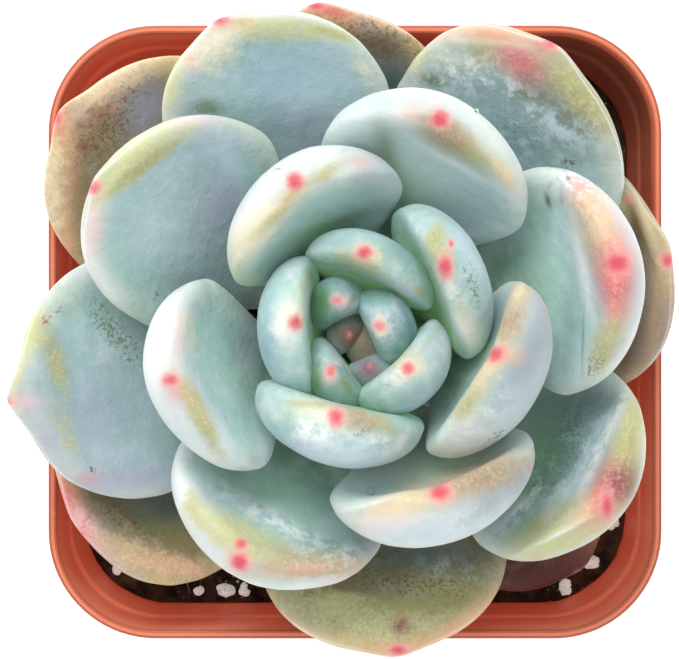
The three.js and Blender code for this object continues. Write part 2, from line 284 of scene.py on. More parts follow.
def skin_faces(rings, count):
    """Faces of a closed skin over a ring-by-ring grid, with a fan over the first ring and one over the
    last. The fans' middles are the two points after the grid."""
    here = np.arange(rings * count).reshape(rings, count)
    there = np.roll(here, -1, axis=1)
    sides = np.stack([here[:-1], there[:-1], there[1:], here[1:]], axis=-1).reshape(-1, 4)
    first = np.stack([np.full(count, rings * count), there[0], here[0]], axis=-1)
    last = np.stack([here[-1], there[-1], np.full(count, rings * count + 1)], axis=-1)
    return sides.tolist() + first.tolist() + last.tolist()


def add_skin(name, grid, first_pole, last_pole, finish=None):
    """A closed skin through a grid of rings, with a pole at each end."""
    points = np.vstack([grid.reshape(-1, 3), [first_pole], [last_pole]])
    return add_mesh(name, points, skin_faces(grid.shape[0], grid.shape[1]), finish)


ledge_height = UNDER_COLLAR + WALL
ledge_half = body_half(ledge_height) - WALL + LEDGE_STEP
pot_profile = filleted(
    [
        (*FLOOR_SQUARE, 0),
        body_at(0.0, 0.0),
        body_at(0.0, UNDER_COLLAR),
        collar_at(COLLAR_TAPER, UNDER_COLLAR),
        collar_at(0.0, RIM),
        collar_at(LIP, RIM),
        (ledge_half, ledge_half - RIM_HALF + RIM_CORNER, ledge_height),
        body_at(WALL, ledge_height - LEDGE_DROP),
        body_at(WALL, POT_FLOOR),
        (*FLOOR_SQUARE, POT_FLOOR),
    ],
    radius=0.3, steps=5)

brick = Finish("brick_plastic")
spot = brick.place()
cloud = brick.noise(spot, 90.0, 4.0)
streak = brick.noise(brick.stretch(spot, (1.0, 1.0, 14.0)), 130.0, 3.0)
scuff = brick.ease(brick.noise(brick.stretch(spot, (1, 1, 0.25)), 900.0, 5.0, 0.7), 0.60, 0.72)
height_m = brick.axis(spot, "Z")
lip_share = brick.ease(height_m, (RIM - 0.55) * MM, (RIM - 0.02) * MM)
inside = brick.read("inside")
shell_colour = brick.mix(cloud, linear(166, 78, 54), linear(184, 92, 66))
shell_colour = brick.mix(brick.times(streak, 0.35), shell_colour, linear(168, 70, 45))
# The inside is painted lighter than the outside: painted light against the shade inside the pot.
painted_lit_inner_colour = brick.mix(cloud, linear(238, 146, 114), linear(250, 160, 128))
shell_colour = brick.mix(inside, shell_colour, painted_lit_inner_colour)
shell_colour = brick.mix(brick.times(lip_share, 0.9), shell_colour, linear(178, 92, 68))
# A painted highlight: a bright thin line on top of the lip, where its inside begins.
lip_edge_highlight = brick.ease(brick.absolute(brick.minus(inside, 0.5)), 0.5, 0.2)
shell_colour = brick.mix(brick.times(lip_edge_highlight, lip_share), shell_colour, linear(232, 138, 104))
# Painted shade on the inner wall below the lip, darker towards the corner at plus x and plus y, with a cloudy
# edge.
under_lip = brick.times(inside, brick.ease(height_m, (RIM - 0.1) * MM, (RIM - 1.6) * MM))
towards_corner = brick.plus(brick.axis(spot, "X"), brick.axis(spot, "Y"))
towards_corner = brick.plus(towards_corner, brick.times(brick.minus(cloud, 0.5), 0.012))
painted_corner_shade = brick.times(under_lip, brick.ease(towards_corner, *CORNER_SHADE_FROM_TO))
shell_colour = brick.mix(brick.times(painted_corner_shade, 0.75), shell_colour, linear(116, 58, 43))
brick.set(Base_Color=brick.mix(brick.times(scuff, 0.16), shell_colour, linear(226, 190, 170)))
brick.set(Roughness=brick.ease(cloud, 0.3, 0.7, 0.36, 0.5), Specular_IOR_Level=0.5)
# A painted glow: emission on the inner wall below the lip, in place of daylight coming through the thin wall,
# weaker under the painted shade.
painted_glow = brick.times(under_lip, brick.minus(1.0, painted_corner_shade))
brick.set(Emission_Color=linear(92, 32, 20), Emission_Strength=painted_glow)
brick.set(Subsurface_Weight=0.4, Subsurface_Radius=(1.0, 0.5, 0.35), Subsurface_Scale=0.0025)
brick.bump(brick.noise(spot, 2200.0, 2.0), 0.12, 0.0001)

pot = add_skin("pot_shell", square_rings(pot_profile), (0, 0, 0), (0, 0, POT_FLOOR), brick)


def floats(piece, name, values):
    """Stores one number for each point of a piece."""
    layer = piece.data.attributes.new(name, "FLOAT", "POINT")
    layer.data.foreach_set("value", np.asarray(values, dtype=np.float32))


def rod_and_bars():
    """The cutters under the pot: an upright rod for each drain and a bar for each channel between them."""
    cutter = bmesh.new()
    for side in (-1, 1):
        for end in (-1, 1):
            place = Matrix.Translation((side * DRAIN_OFFSET * MM, end * DRAIN_OFFSET * MM, 0))
            bmesh.ops.create_cone(
                cutter, cap_ends=True, segments=40, radius1=DRAIN_RADIUS * MM, radius2=DRAIN_RADIUS * MM,
                depth=4 * POT_FLOOR * MM, matrix=place)
        for size, place in (
                ((CHANNEL_LENGTH, CHANNEL_WIDTH), (0, side * DRAIN_OFFSET)),
                ((CHANNEL_WIDTH, CHANNEL_LENGTH), (side * DRAIN_OFFSET, 0))):
            scale = Matrix.Diagonal((size[0] * MM, size[1] * MM, 2 * CHANNEL_DEPTH * MM, 1))
            bmesh.ops.create_cube(
                cutter, size=1, matrix=Matrix.Translation((place[0] * MM, place[1] * MM, 0)) @ scale)
    mesh = bpy.data.meshes.new("drain_cutter")
    cutter.to_mesh(mesh)
    cutter.free()
    return mesh


drain_cutter = bpy.data.objects.new("drain_cutter", rod_and_bars())
bpy.context.scene.collection.objects.link(drain_cutter)
cut = pot.modifiers.new("drains", "BOOLEAN")
cut.object = drain_cutter
cut.operation = "DIFFERENCE"
cut.solver = "EXACT"
cut.use_self = True
bpy.context.view_layer.update()
moulded = bpy.data.meshes.new_from_object(pot.evaluated_get(bpy.context.evaluated_depsgraph_get()))
pot.modifiers.clear()
pot.data = moulded
moulded.set_sharp_from_angle(angle=0.6)
bpy.data.objects.remove(drain_cutter)
corners = np.empty(3 * len(moulded.vertices), dtype=np.float32)
moulded.vertices.foreach_get("co", corners)
x, y, z = corners.reshape(-1, 3).T / MM
corner_radius = RIM_CORNER - MID_WALL
wall_half = np.where(z > UNDER_COLLAR, RIM_HALF, body_half(z)) - MID_WALL
past = np.abs(np.stack([x, y])) - (wall_half - corner_radius)
outward = np.hypot(*np.maximum(past, 0)) + np.minimum(past.max(axis=0), 0) - corner_radius
floats(pot, "inside", ((outward < 0) & (z > POT_FLOOR)).astype(float))
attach(pot, ROOT)
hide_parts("pot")

# Potting mix. Dark peat with fibres and crumbs, filled to 10.5 mm under the rim, with white perlite grains
# lying in it. The plant's stem stands in it.
SOIL_TOP = RIM - 10.5
SOIL_FOOT = POT_FLOOR + 0.3
SOIL_CLEAR = WALL + 0.12
SOIL_RELIEF = 0.35
SOIL_CORNER_STEPS = 56
LATTICE = 32  # cells of the random lattice before it repeats


def lattice_noise(points, cell, seed):
    """A smooth random field from -1 to 1: random values on a cubic lattice of the given cell, blended by
    smooth steps between the eight corners round each point."""
    values = np.random.default_rng(seed).uniform(-1, 1, (LATTICE, LATTICE, LATTICE))
    place = np.asarray(points) / cell + 100
    base = np.floor(place).astype(int)
    share = place - base
    share = share * share * (3 - 2 * share)
    total = np.zeros(place.shape[:-1])
    for corner in np.ndindex(2, 2, 2):
        weight = np.prod(np.where(corner, share, 1 - share), axis=-1)
        index = (base + corner) % LATTICE
        total += weight * values[index[..., 0], index[..., 1], index[..., 2]]
    return total


def soil_height(x, y):
    """Height of the mix: slow waves, then crumbs of two sizes."""
    flat = np.stack([x, y, np.zeros_like(x)], axis=-1)
    wave = np.sin(0.9 * x + 1.3 * np.sin(0.5 * y)) * np.cos(0.8 * y - 0.4 * x)
    crumbs = 0.26 * lattice_noise(flat, 0.9, 3) + 0.14 * lattice_noise(flat, 0.4, 4)
    return SOIL_TOP + SOIL_RELIEF * wave + crumbs


edge_half = body_half(SOIL_TOP) - SOIL_CLEAR
edge_corner = RIM_CORNER * body_half(SOIL_TOP) / RIM_HALF - SOIL_CLEAR
# The rings lie closer together near the wall, where the mix shows.
shares = np.concatenate([[1.0], np.linspace(0.995, 0.7, 64), np.linspace(0.68, 0.1, 24)])
top_rings = square_rings(
    [(edge_half * share, edge_corner * share, SOIL_TOP) for share in shares], SOIL_CORNER_STEPS)
top_rings[..., 2] = soil_height(top_rings[..., 0], top_rings[..., 1])
wall_rings = square_rings(
    [body_at(SOIL_CLEAR, SOIL_FOOT), body_at(SOIL_CLEAR, SOIL_TOP * 0.6)], SOIL_CORNER_STEPS)

peat = Finish("peat_mix")
spot = peat.place()
tone = peat.noise(spot, 900.0, 4.0, 0.6)
lump = peat.noise(spot, 260.0, 3.0)
mix_colour = peat.mix(peat.ease(tone, 0.36, 0.66), linear(16, 11, 8), linear(66, 46, 30))
mix_colour = peat.mix(peat.ease(lump, 0.52, 0.7, 0.0, 0.5), mix_colour, linear(112, 84, 54))
sand = peat.ease(peat.cells(spot, 1500.0), 0.16, 0.10)
sand = peat.times(sand, peat.ease(peat.noise(spot, 420.0), 0.5, 0.62))
peat.set(Base_Color=peat.mix(sand, mix_colour, linear(186, 158, 118)), Roughness=0.92)
peat.bump(tone, 0.7, 0.0004)
soil = add_skin(
    "potting_mix", np.concatenate([wall_rings, top_rings]), (0, 0, SOIL_FOOT),
    (0, 0, float(soil_height(np.zeros(1), np.zeros(1))[0])), peat)
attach(soil, ROOT)
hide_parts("soil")

# The loose crumbs and root fibres on the mix, pressed into its top. Most lie round the edge, where the pot
# shows between the leaves.
CRUMBS = 1500
CRUMB_SIZES = (0.12, 0.42)
CRUMB_PROUD = 0.15  # share of its size that a crumb's middle lies over the mix
CRUMB_ROUGHNESS = 0.3
CRUMB_SQUEEZE = (0.55, 1.3)
FIBRES = 420
FIBRE_LENGTHS = (0.8, 3.4)
FIBRE_RADII = (0.03, 0.075)
FIBRE_STEPS, FIBRE_SIDES = 7, 3
FIBRE_BEND = 0.7  # radians, the usual turn between a fibre's middle and its end
FIBRE_LIFT = (0.1, 0.45)
FIBRE_DIP = 0.05
FIBRE_TAPER = 0.75
FIBRE_CLEAR = 0.3  # from the wall
CRUMBS_FROM, FIBRES_FROM, GRAINS_FROM = 0.62, 0.66, 0.3  # share of the way out to the wall where they begin
NEAR_WALL = 0.965
SQUARENESS = 5  # exponent of the rounded square that they keep to
ICO_TURN = (1 + 5 ** 0.5) / 2
ICO_POINTS = np.array([(-1, ICO_TURN, 0), (1, ICO_TURN, 0), (-1, -ICO_TURN, 0), (1, -ICO_TURN, 0),
                       (0, -1, ICO_TURN), (0, 1, ICO_TURN), (0, -1, -ICO_TURN), (0, 1, -ICO_TURN),
                       (ICO_TURN, 0, -1), (ICO_TURN, 0, 1), (-ICO_TURN, 0, -1), (-ICO_TURN, 0, 1)])
ICO_POINTS /= np.linalg.norm(ICO_POINTS[0])
CORNERS = len(ICO_POINTS)
ICO_FACES = np.array([(0, 11, 5), (0, 5, 1), (0, 1, 7), (0, 7, 10), (0, 10, 11), (1, 5, 9), (5, 11, 4),
                      (11, 10, 2), (10, 7, 6), (7, 1, 8), (3, 9, 4), (3, 4, 2), (3, 2, 6), (3, 6, 8),
                      (3, 8, 9), (4, 9, 5), (2, 4, 11), (6, 2, 10), (8, 6, 7), (9, 8, 1)])


def round_the_edge(draw, count, least):
    """Places on the mix, from a share least of the way out to the wall."""
    angle = draw.uniform(0, 2 * np.pi, count)
    toward = np.stack([np.cos(angle), np.sin(angle)], axis=-1)
    out = (np.abs(toward) ** SQUARENESS).sum(axis=-1) ** (-1 / SQUARENESS)
    share = np.sqrt(draw.uniform(least ** 2, NEAR_WALL ** 2, count))
    return toward * (out * share * edge_half)[:, None]


def crumb_heap(draw, places, sizes, proud, rough):
    """Small lumps: one twenty-sided ball for each place, squeezed and dented by random shares."""
    count = len(places)
    squeeze = draw.uniform(*CRUMB_SQUEEZE, (count, 1, 3))
    squeeze = squeeze * draw.uniform(1 - rough, 1 + rough, (count, CORNERS, 1))
    turn = draw.normal(size=(count, 3, 3))
    frame_of, _ = np.linalg.qr(turn)
    lumps = np.einsum("cpi,cij->cpj", ICO_POINTS[None] * squeeze, frame_of) * sizes[:, None, None]
    height = soil_height(places[:, 0], places[:, 1]) + sizes * proud
    lumps += np.concatenate([places, height[:, None]], axis=-1)[:, None]
    faces = np.arange(count)[:, None, None] * CORNERS + ICO_FACES[None]
    flip = np.linalg.det(frame_of) < 0
    faces[flip] = faces[flip][..., ::-1]
    return lumps.reshape(-1, 3), faces.reshape(-1, 3).tolist()


draw = np.random.default_rng(17)
crumb_points, crumb_faces = crumb_heap(
    draw, round_the_edge(draw, CRUMBS, CRUMBS_FROM), draw.uniform(*CRUMB_SIZES, CRUMBS), CRUMB_PROUD,
    CRUMB_ROUGHNESS)
bark = Finish("peat_crumbs")
tone = bark.read("tone")
crumb_colour = bark.mix(bark.ease(tone, 0.0, 0.85), linear(18, 12, 9), linear(84, 58, 38))
crumb_colour = bark.mix(bark.ease(tone, 0.84, 0.9), crumb_colour, linear(248, 228, 190))
grit = bark.noise(bark.place(), 3000.0, 3.0)
bark.set(Base_Color=bark.mix(bark.times(grit, 0.4), crumb_colour, linear(58, 40, 28)))
bark.set(Roughness=0.88)
bark.bump(grit, 0.5, 0.0002)
crumbs = add_mesh("peat_crumbs", crumb_points, crumb_faces, bark)
floats(crumbs, "tone", np.repeat(draw.uniform(0, 1, CRUMBS), CORNERS))
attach(crumbs, ROOT)


def fibre_tangle(draw, places, lengths, thickness):
    """Root fibres: a three-sided tube along a flat arc for each place, thinner at both ends, with its ends
    dipping into the mix."""
    count, steps, sides = len(places), FIBRE_STEPS, FIBRE_SIDES
    share = np.linspace(-1, 1, steps)[None]
    heading = draw.uniform(0, 2 * np.pi, (count, 1)) + draw.normal(0, FIBRE_BEND, (count, 1)) * share
    step = lengths[:, None] / steps
    x = places[:, :1] + np.cumsum(np.cos(heading) * step, axis=1) - lengths[:, None] / 2 * np.cos(heading)
    y = places[:, 1:] + np.cumsum(np.sin(heading) * step, axis=1) - lengths[:, None] / 2 * np.sin(heading)
    lift = draw.uniform(*FIBRE_LIFT, (count, 1)) * (1 - share ** 2) - FIBRE_DIP
    limit = edge_half - FIBRE_CLEAR
    x, y = np.clip(x, -limit, limit), np.clip(y, -limit, limit)
    spine = np.stack([x, y, soil_height(x, y) + lift], axis=-1)
    around = (np.arange(sides) * 2 * np.pi / sides)[None, None]
    radius = thickness[:, None, None] * (1 - FIBRE_TAPER * share ** 2)[..., None]
    across = np.stack([-np.sin(heading), np.cos(heading), np.zeros_like(heading)], axis=-1)[:, :, None]
    tube = spine[:, :, None] + across * (radius * np.cos(around))[..., None]
    tube[..., 2] += radius * np.sin(around)
    grid = np.arange(count * steps * sides).reshape(count, steps, sides)
    turned = np.roll(grid, -1, axis=2)
    strips = np.stack([grid[:, :-1], grid[:, 1:], turned[:, 1:], turned[:, :-1]], axis=-1).reshape(-1, 4)
    caps = np.concatenate([grid[:, 0], grid[:, -1, ::-1]])
    return tube.reshape(-1, 3), strips.tolist() + caps.tolist()


fibre_points, fibre_faces = fibre_tangle(
    draw, round_the_edge(draw, FIBRES, FIBRES_FROM), draw.uniform(*FIBRE_LENGTHS, FIBRES),
    draw.uniform(*FIBRE_RADII, FIBRES))
straw = Finish("root_fibres")
tone = straw.read("tone")
straw_colour = straw.mix(straw.ease(tone, 0.2, 0.9), linear(74, 46, 26), linear(228, 186, 128))
fleck = straw.noise(straw.place(), 1800.0)
straw.set(Base_Color=straw.mix(straw.times(fleck, 0.5), straw_colour, linear(50, 32, 20)))
straw.set(Roughness=0.75)
fibres = add_mesh("root_fibres", fibre_points, fibre_faces, straw)
floats(fibres, "tone", np.repeat(draw.uniform(0, 1, FIBRES) ** 1.6, FIBRE_STEPS * FIBRE_SIDES))
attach(fibres, ROOT)

# Perlite. Popped volcanic glass, white and pitted, mixed into the peat. Each grain is a cluster of three
# rough balls that lies on the mix. The first ones are where the photo shows them, the rest are strewn.
GRAINS_SEEN = [(-22.6, -22.6), (-14.9, -25.0), (-12.6, -24.8), (-10.6, -25.0), (20.2, -24.6), (23.0, -22.2),
               (25.0, -18.4)]
GRAINS_STREWN = 9
GRAIN_RADII = (0.6, 0.95)
GRAIN_RINGS, GRAIN_SECTORS = 14, 20


def ball_grid(rings, sectors):
    """A ball of radius 1 without its poles, ring by ring from below: polar angle up, turn round Z."""
    polar = np.linspace(0, np.pi, rings + 2)[1:-1, None]
    turn = np.linspace(0, 2 * np.pi, sectors, endpoint=False)[None]
    return np.stack([np.sin(polar) * np.cos(turn), np.sin(polar) * np.sin(turn),
                     -np.cos(polar) * np.ones_like(turn)], axis=-1)


def pitted_ball(draw, centre, radius):
    """A rough grain: a ball whose radius swells and dents with a smooth random field."""
    ball = ball_grid(GRAIN_RINGS, GRAIN_SECTORS)
    ball = np.concatenate([ball.reshape(-1, 3), [(0, 0, -1), (0, 0, 1)]])
    offset = draw.uniform(0, 30, 3)
    swell = 1 + 0.28 * lattice_noise(ball + offset, 0.75, 8) + 0.14 * lattice_noise(ball + offset, 0.3, 9)
    return centre + ball * (swell * radius)[:, None] * draw.uniform(0.8, 1.15, 3)


one_grain = skin_faces(GRAIN_RINGS, GRAIN_SECTORS)
grain_points, grain_faces = [], []
for x, y in [*GRAINS_SEEN, *round_the_edge(draw, GRAINS_STREWN, GRAINS_FROM)]:
    radius = draw.uniform(*GRAIN_RADII)
    spread = 0.45 * radius
    on_mix = np.array([x, y, float(soil_height(np.array([x]), np.array([y]))[0])])
    for part in range(3):
        offset = np.array([*draw.uniform(-spread, spread, 2), 0.3 * radius])
        size = radius * draw.uniform(0.5, 0.85)
        first = sum(len(block) for block in grain_points)
        grain_points.append(pitted_ball(draw, on_mix + offset, size))
        grain_faces += [[corner + first for corner in face] for face in one_grain]
chalk = Finish("perlite_white")
spot = chalk.place()
pits = chalk.ease(chalk.noise(spot, 1900.0, 4.0, 0.65), 0.3, 0.48)
chalk.set(Base_Color=chalk.mix(pits, linear(206, 196, 180), linear(255, 253, 248)), Roughness=0.8)
# A painted glow keeps the grains bright in the shade inside the pot.
chalk.set(Emission_Color=(1.0, 0.97, 0.92, 1.0), Emission_Strength=0.25)
chalk.bump(pits, 0.6, 0.0003)
perlite = add_mesh("perlite_grains", np.vstack(grain_points), grain_faces, chalk)
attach(perlite, ROOT)

# Stem. The short pale stem that carries the rosette, hidden under the leaves, ringed by old leaf scars. It
# stands in the mix.
STEM_X, STEM_Y = 0.5, -1.0
STEM_TOP, STEM_TOP_RADIUS = 6.4, 1.1  # height over the rim
STEM_FOOT, STEM_FOOT_RADIUS = -9.0, 4.4
STEM_ROOT, STEM_ROOT_RADIUS = -22.0, 3.2
STEM_RINGS, STEM_SECTORS = 70, 40
SCAR_DEPTH = 0.12


def stem_radius(height):
    """Radius of the bare stem at a height over the rim: a straight taper from its foot to its top."""
    share = np.clip((height - STEM_FOOT) / (STEM_TOP - STEM_FOOT), 0, 1)
    return STEM_FOOT_RADIUS + (STEM_TOP_RADIUS - STEM_FOOT_RADIUS) * share


heights = np.linspace(STEM_ROOT, STEM_TOP, STEM_RINGS)[:, None]
turn = np.linspace(0, 2 * np.pi, STEM_SECTORS, endpoint=False)[None]
below = np.clip((heights - STEM_ROOT) / (STEM_FOOT - STEM_ROOT), 0, 1)
girth = np.where(heights < STEM_FOOT, STEM_ROOT_RADIUS + (STEM_FOOT_RADIUS - STEM_ROOT_RADIUS) * below,
                 stem_radius(heights))
scars = SCAR_DEPTH * np.abs(np.sin(2.4 * heights + 1.5 * np.sin(2 * turn)))
girth = girth - scars
stem_grid = np.stack([STEM_X + girth * np.cos(turn), STEM_Y + girth * np.sin(turn),
                      RIM + heights * np.ones_like(turn)], axis=-1)
stalk = Finish("stem_skin")
spot = stalk.place()
stalk_tone = stalk.noise(stalk.stretch(spot, (1, 1, 0.3)), 700.0, 4.0)
stalk.set(Base_Color=stalk.mix(stalk_tone, linear(132, 150, 100), linear(166, 164, 124)), Roughness=0.7)
stalk.bump(stalk_tone, 0.4, 0.0003)
stem = add_skin(
    "stem_bark", stem_grid, (STEM_X, STEM_Y, RIM + STEM_ROOT), (STEM_X, STEM_Y, RIM + STEM_TOP), stalk)
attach(stem, ROOT)
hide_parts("stem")

# Leaves. Twenty-eight thick, cupped leaves in a spiral on the stem, each ending in a small point. Their skin
# is waxy: blue-green under a white bloom that is rubbed off in olive patches, with pink tips.
LEAF_CLEAR = 0.3
# For each ring of leaves: how far its edges rise over its midline, the exponent of its rounded end, and where
# along it is widest.
FORMS = {
    "bud": (0.15, 2.0, 0.6),
    "heart": (0.7, 2.1, 0.57),
    "inner": (1.3, 2.1, 0.6),
    "middle": (2.1, 2.25, 0.64),
    "outer": (1.6, 2.4, 0.63),
    "lowest": (1.1, 2.4, 0.61),
}
# The leaves, youngest first: ring, direction in degrees, reach of the tip from the stem, height of the tip
# over the rim, rise of the tip in degrees, width, thickness, twist, sideways shift of the tip, height of the
# foot, length of the point, slant of the end.
LEAVES = [
    ("bud", 143, 1.5, 13.0, 92, 4.2, 2.8, 0, 0.0, 7.0, 0.1, 0),
    ("bud", 295, 2.3, 13.0, 95, 5.2, 3.4, 0, 0.0, 6.4, 0.1, 0),
    ("heart", 37, 2.5, 15.0, 98, 7.2, 4.2, -12, 0.4, 5.8, 0.1, 0),
    ("heart", 232, 3.8, 15.0, 98, 7.4, 4.0, -14, -0.3, 5.2, 0.1, 0),
    ("heart", 122, 4.2, 15.0, 95, 5.4, 4.0, -8, -0.2, 4.6, 0.1, 0),
    ("inner", 327, 4.7, 17.0, 102, 10.2, 4.6, -12, 0.4, 4.0, 0.2, 0),
    ("inner", 169, 6.4, 17.0, 98, 13.0, 4.8, 12, -0.6, 3.4, 0.2, 0),
    ("inner", 253, 7.0, 18.5, 107, 15.2, 5.6, 3, 0.0, 2.8, 0.2, 0),
    ("inner", 80, 8.0, 17.0, 86, 12.0, 4.0, -12, 1.2, 2.3, 0.2, 0),
    ("inner", 37, 9.9, 18.5, 103, 14.6, 4.8, -11, 1.2, 1.8, 0.2, 0),
    ("middle", 345, 12.1, 19.0, 112, 17.0, 5.8, -12, 1.9, 1.3, 0.2, 0),
    ("middle", 113, 15.2, 18.5, 82, 17.0, 5.8, 8, -0.4, 0.8, 0.2, 0),
    ("middle", 297, 15.0, 18.5, 116, 18.6, 5.6, -10, -0.3, 0.3, 0.2, 0),
    ("middle", 194, 17.1, 18.5, 77, 17.6, 5.8, 4, -1.0, -0.2, 0.2, 0),
    ("middle", 69, 21.0, 17.5, 80, 19.2, 5.8, 0, 1.0, -0.7, 0.2, 0),
    ("middle", 242, 21.9, 14.0, 72, 20.2, 5.6, 0, -0.2, -1.2, 0.3, 0),
    ("middle", 17, 23.9, 16.5, 80, 20.6, 5.6, -8, -0.3, -1.7, 0.3, 0),
    ("middle", 328, 26.1, 12.5, 82, 19.8, 5.4, 0, 0.8, -2.2, 0.4, 0),
    ("outer", 144, 27.4, 14.0, 44, 20.2, 5.0, 0, 2.0, -2.7, 0.6, -1.2),
    ("outer", 110, 31.4, 10.5, 42, 20.6, 4.8, 0, 2.2, -3.5, 0.8, -1.6),
    ("outer", 52, 31.7, 9.5, 46, 23.8, 4.8, 0, 2.2, -4.4, 0.8, 0),
    ("outer", 188, 31.9, 10.5, 36, 22.4, 5.0, 0, 0.5, -4.8, 1.6, 0),
    ("lowest", 19, 29.2, 6.4, 50, 23.2, 4.4, 0, -0.6, -5.6, 0.8, 0),
    ("lowest", 209, 30.8, 4.5, 38, 24.2, 4.6, 0, 1.4, -6.3, 0.5, 0),
    ("lowest", 276, 28.7, 4.8, 38, 23.0, 4.6, 0, 0.3, -6.6, 0.8, 0),
    ("lowest", 96, 31.2, 4.9, 36, 21.6, 4.2, 0, 0.6, -6.8, 1.0, 0),
    ("lowest", 139, 34.6, 4.8, 34, 23.2, 4.2, 0, 2.0, -7.1, 1.2, -1.6),
    ("lowest", 315, 29.8, -3.0, 14, 17.6, 4.0, 0, 0.0, -7.2, 0.6, 0),
]
FOOT_WIDTH = 0.22
NECK = 0.14  # share of the length that stays as narrow as the foot
FOOT_THICKNESS = 0.42
FOOT_LENGTH = 1.2
MIDLINE_PULL = 0.38
LEAVES_STEM_AT = (-30, 85)  # lowest and steepest rise in degrees at which a midline leaves the stem
POINT_SPREAD = 0.22
LAST_RING = 0.992  # share of the rounded end that the rings before the tip reach
TWISTED_BY = 0.6  # share of the length over which a leaf takes up its twist
END_FULLNESS = 2.8
EDGE_ROUND = 0.85
FACE_ROUND = 0.8
FACE_SHARE = 0.4  # share of the thickness over the midline
BLADE_RINGS = 34
END_RINGS = 50
UPPER_STEPS = 70  # points across the upper side, and round the underside
LOWER_STEPS = 34
TURN = np.concatenate([np.linspace(0, np.pi, UPPER_STEPS, endpoint=False),
                       np.linspace(np.pi, 2 * np.pi, LOWER_STEPS, endpoint=False)])
MARK_DEPTH = 1.2  # millimetres up or down over which a small mark fades, and more for each pixel of its size
MARK_REACH = 0.145


def smooth(value, low, high):
    """0 at low, 1 at high, and a smooth step between. low may be the larger of the two."""
    share = np.clip((value - low) / (high - low), 0, 1)
    return share * share * (3 - 2 * share)


def leaf_grid(leaf):
    """The skin of one leaf, ring by ring from foot to tip, and how far along it each ring is. The midline is
    a cubic curve that leaves the stem, lifts and ends at the tip's rise. Each ring across it is a flattened
    oval, fuller below than above, with its edges raised, and the last rings round off to a point."""
    ring, azimuth, reach, top, rise, width, thickness, twist, shift, foot, point, slant = leaf
    cup, blunt, full = FORMS[ring]
    azimuth, rise, twist = np.radians([azimuth, rise, twist])
    out = np.array([np.cos(azimuth), np.sin(azimuth), 0.0])
    side = np.array([-out[1], out[0], 0.0])
    up = np.array([0.0, 0.0, 1.0])
    lift = np.array([np.cos(rise), np.sin(rise)])
    start = np.array([stem_radius(foot) + LEAF_CLEAR, foot])
    tip = np.array([reach, top]) - point * lift
    chord = tip - start
    leave = np.clip(2 * np.arctan2(chord[1], chord[0]) - rise, *np.radians(LEAVES_STEM_AT))
    pull = MIDLINE_PULL * np.hypot(*chord)
    knots = [start, start + pull * np.array([np.cos(leave), np.sin(leave)]), tip - pull * lift, tip]
    s = np.concatenate([
        [0.0], np.linspace(0, full, BLADE_RINGS, endpoint=False),
        full + (1 - full) * np.sin(np.linspace(0, LAST_RING, END_RINGS) * np.pi / 2), [1.0]])
    behind = np.where(np.arange(len(s)) == 0, FOOT_LENGTH, 0.0)
    t = s[:, None]
    middle = ((1 - t) ** 3 * knots[0] + 3 * t * (1 - t) ** 2 * knots[1]
              + 3 * t ** 2 * (1 - t) * knots[2] + t ** 3 * knots[3])
    course = ((1 - t) ** 2 * (knots[1] - knots[0]) + 2 * t * (1 - t) * (knots[2] - knots[1])
              + t ** 2 * (knots[3] - knots[2]))
    course /= np.linalg.norm(course, axis=1, keepdims=True)
    ahead = course[:, :1] * out + course[:, 1:] * up
    face = -course[:, 1:] * out + course[:, :1] * up
    end = np.clip((s - full) / (1 - full), 0, 1)
    body = FOOT_WIDTH + (1 - FOOT_WIDTH) * smooth(s, NECK, full)
    half = width / 2 * body * (1 - end ** blunt) ** (1 / blunt)
    swell = FOOT_THICKNESS + (1 - FOOT_THICKNESS) * smooth(s, 0, full + 0.1)
    thick = thickness * swell * (1 - end ** END_FULLNESS) ** (1 / END_FULLNESS)
    turned = (twist * smooth(s, 0, TWISTED_BY))[:, None]
    wide = side * np.cos(turned) + face * np.sin(turned)
    proud = face * np.cos(turned) - side * np.sin(turned)
    drawn = point * np.exp(-(half / (POINT_SPREAD * width / 2)) ** 2)
    centre = (np.array([STEM_X, STEM_Y, RIM]) + middle[:, :1] * out + middle[:, 1:] * up
              + (shift * end ** 1.5)[:, None] * side + (drawn - behind)[:, None] * ahead)
    across = np.sign(np.cos(TURN)) * np.abs(np.cos(TURN)) ** EDGE_ROUND
    over = (np.where(np.sin(TURN) > 0, FACE_SHARE, 1 - FACE_SHARE)
            * np.sign(np.sin(TURN)) * np.abs(np.sin(TURN)) ** FACE_ROUND)
    part = (half / (width / 2))[:, None]
    height = thick[:, None] * over + cup * part * across ** 2
    forward = slant * across * part * smooth(s, 0.1, 1)[:, None]
    grid = (centre[:, None] + (half[:, None] * across)[..., None] * wide[:, None]
            + height[..., None] * proud[:, None] + forward[..., None] * ahead[:, None])
    return grid[:-1], s[:-1], centre[0], grid[-1, 0]


def grid_normals(grid):
    """Outward directions on a closed grid of rings: the cross product of its two runs."""
    along = np.gradient(grid, axis=0)
    round_it = np.roll(grid, -1, axis=1) - np.roll(grid, 1, axis=1)
    normal = np.cross(round_it, along)
    return normal / np.maximum(np.linalg.norm(normal, axis=-1, keepdims=True), 1e-9)


def rgba(piece, name, values):
    """Stores a colour with its share of cover for each point of a piece."""
    layer = piece.data.attributes.new(name, "FLOAT_COLOR", "POINT")
    layer.data.foreach_set("color", np.asarray(values, dtype=np.float32).ravel())


def rim_distance(grid, points, tip_pole):
    """Distance of each point from the leaf's rim, the line where the upper side meets the underside, and
    how far along that line its nearest place is."""
    line = np.concatenate([grid[:, 0], [tip_pole], grid[::-1, UPPER_STEPS]])
    run = np.concatenate([[0], np.cumsum(np.linalg.norm(np.diff(line, axis=0), axis=1))])
    gaps = np.linalg.norm(points[:, None] - line[None], axis=-1)
    return gaps.min(axis=1), run[gaps.argmin(axis=1)]
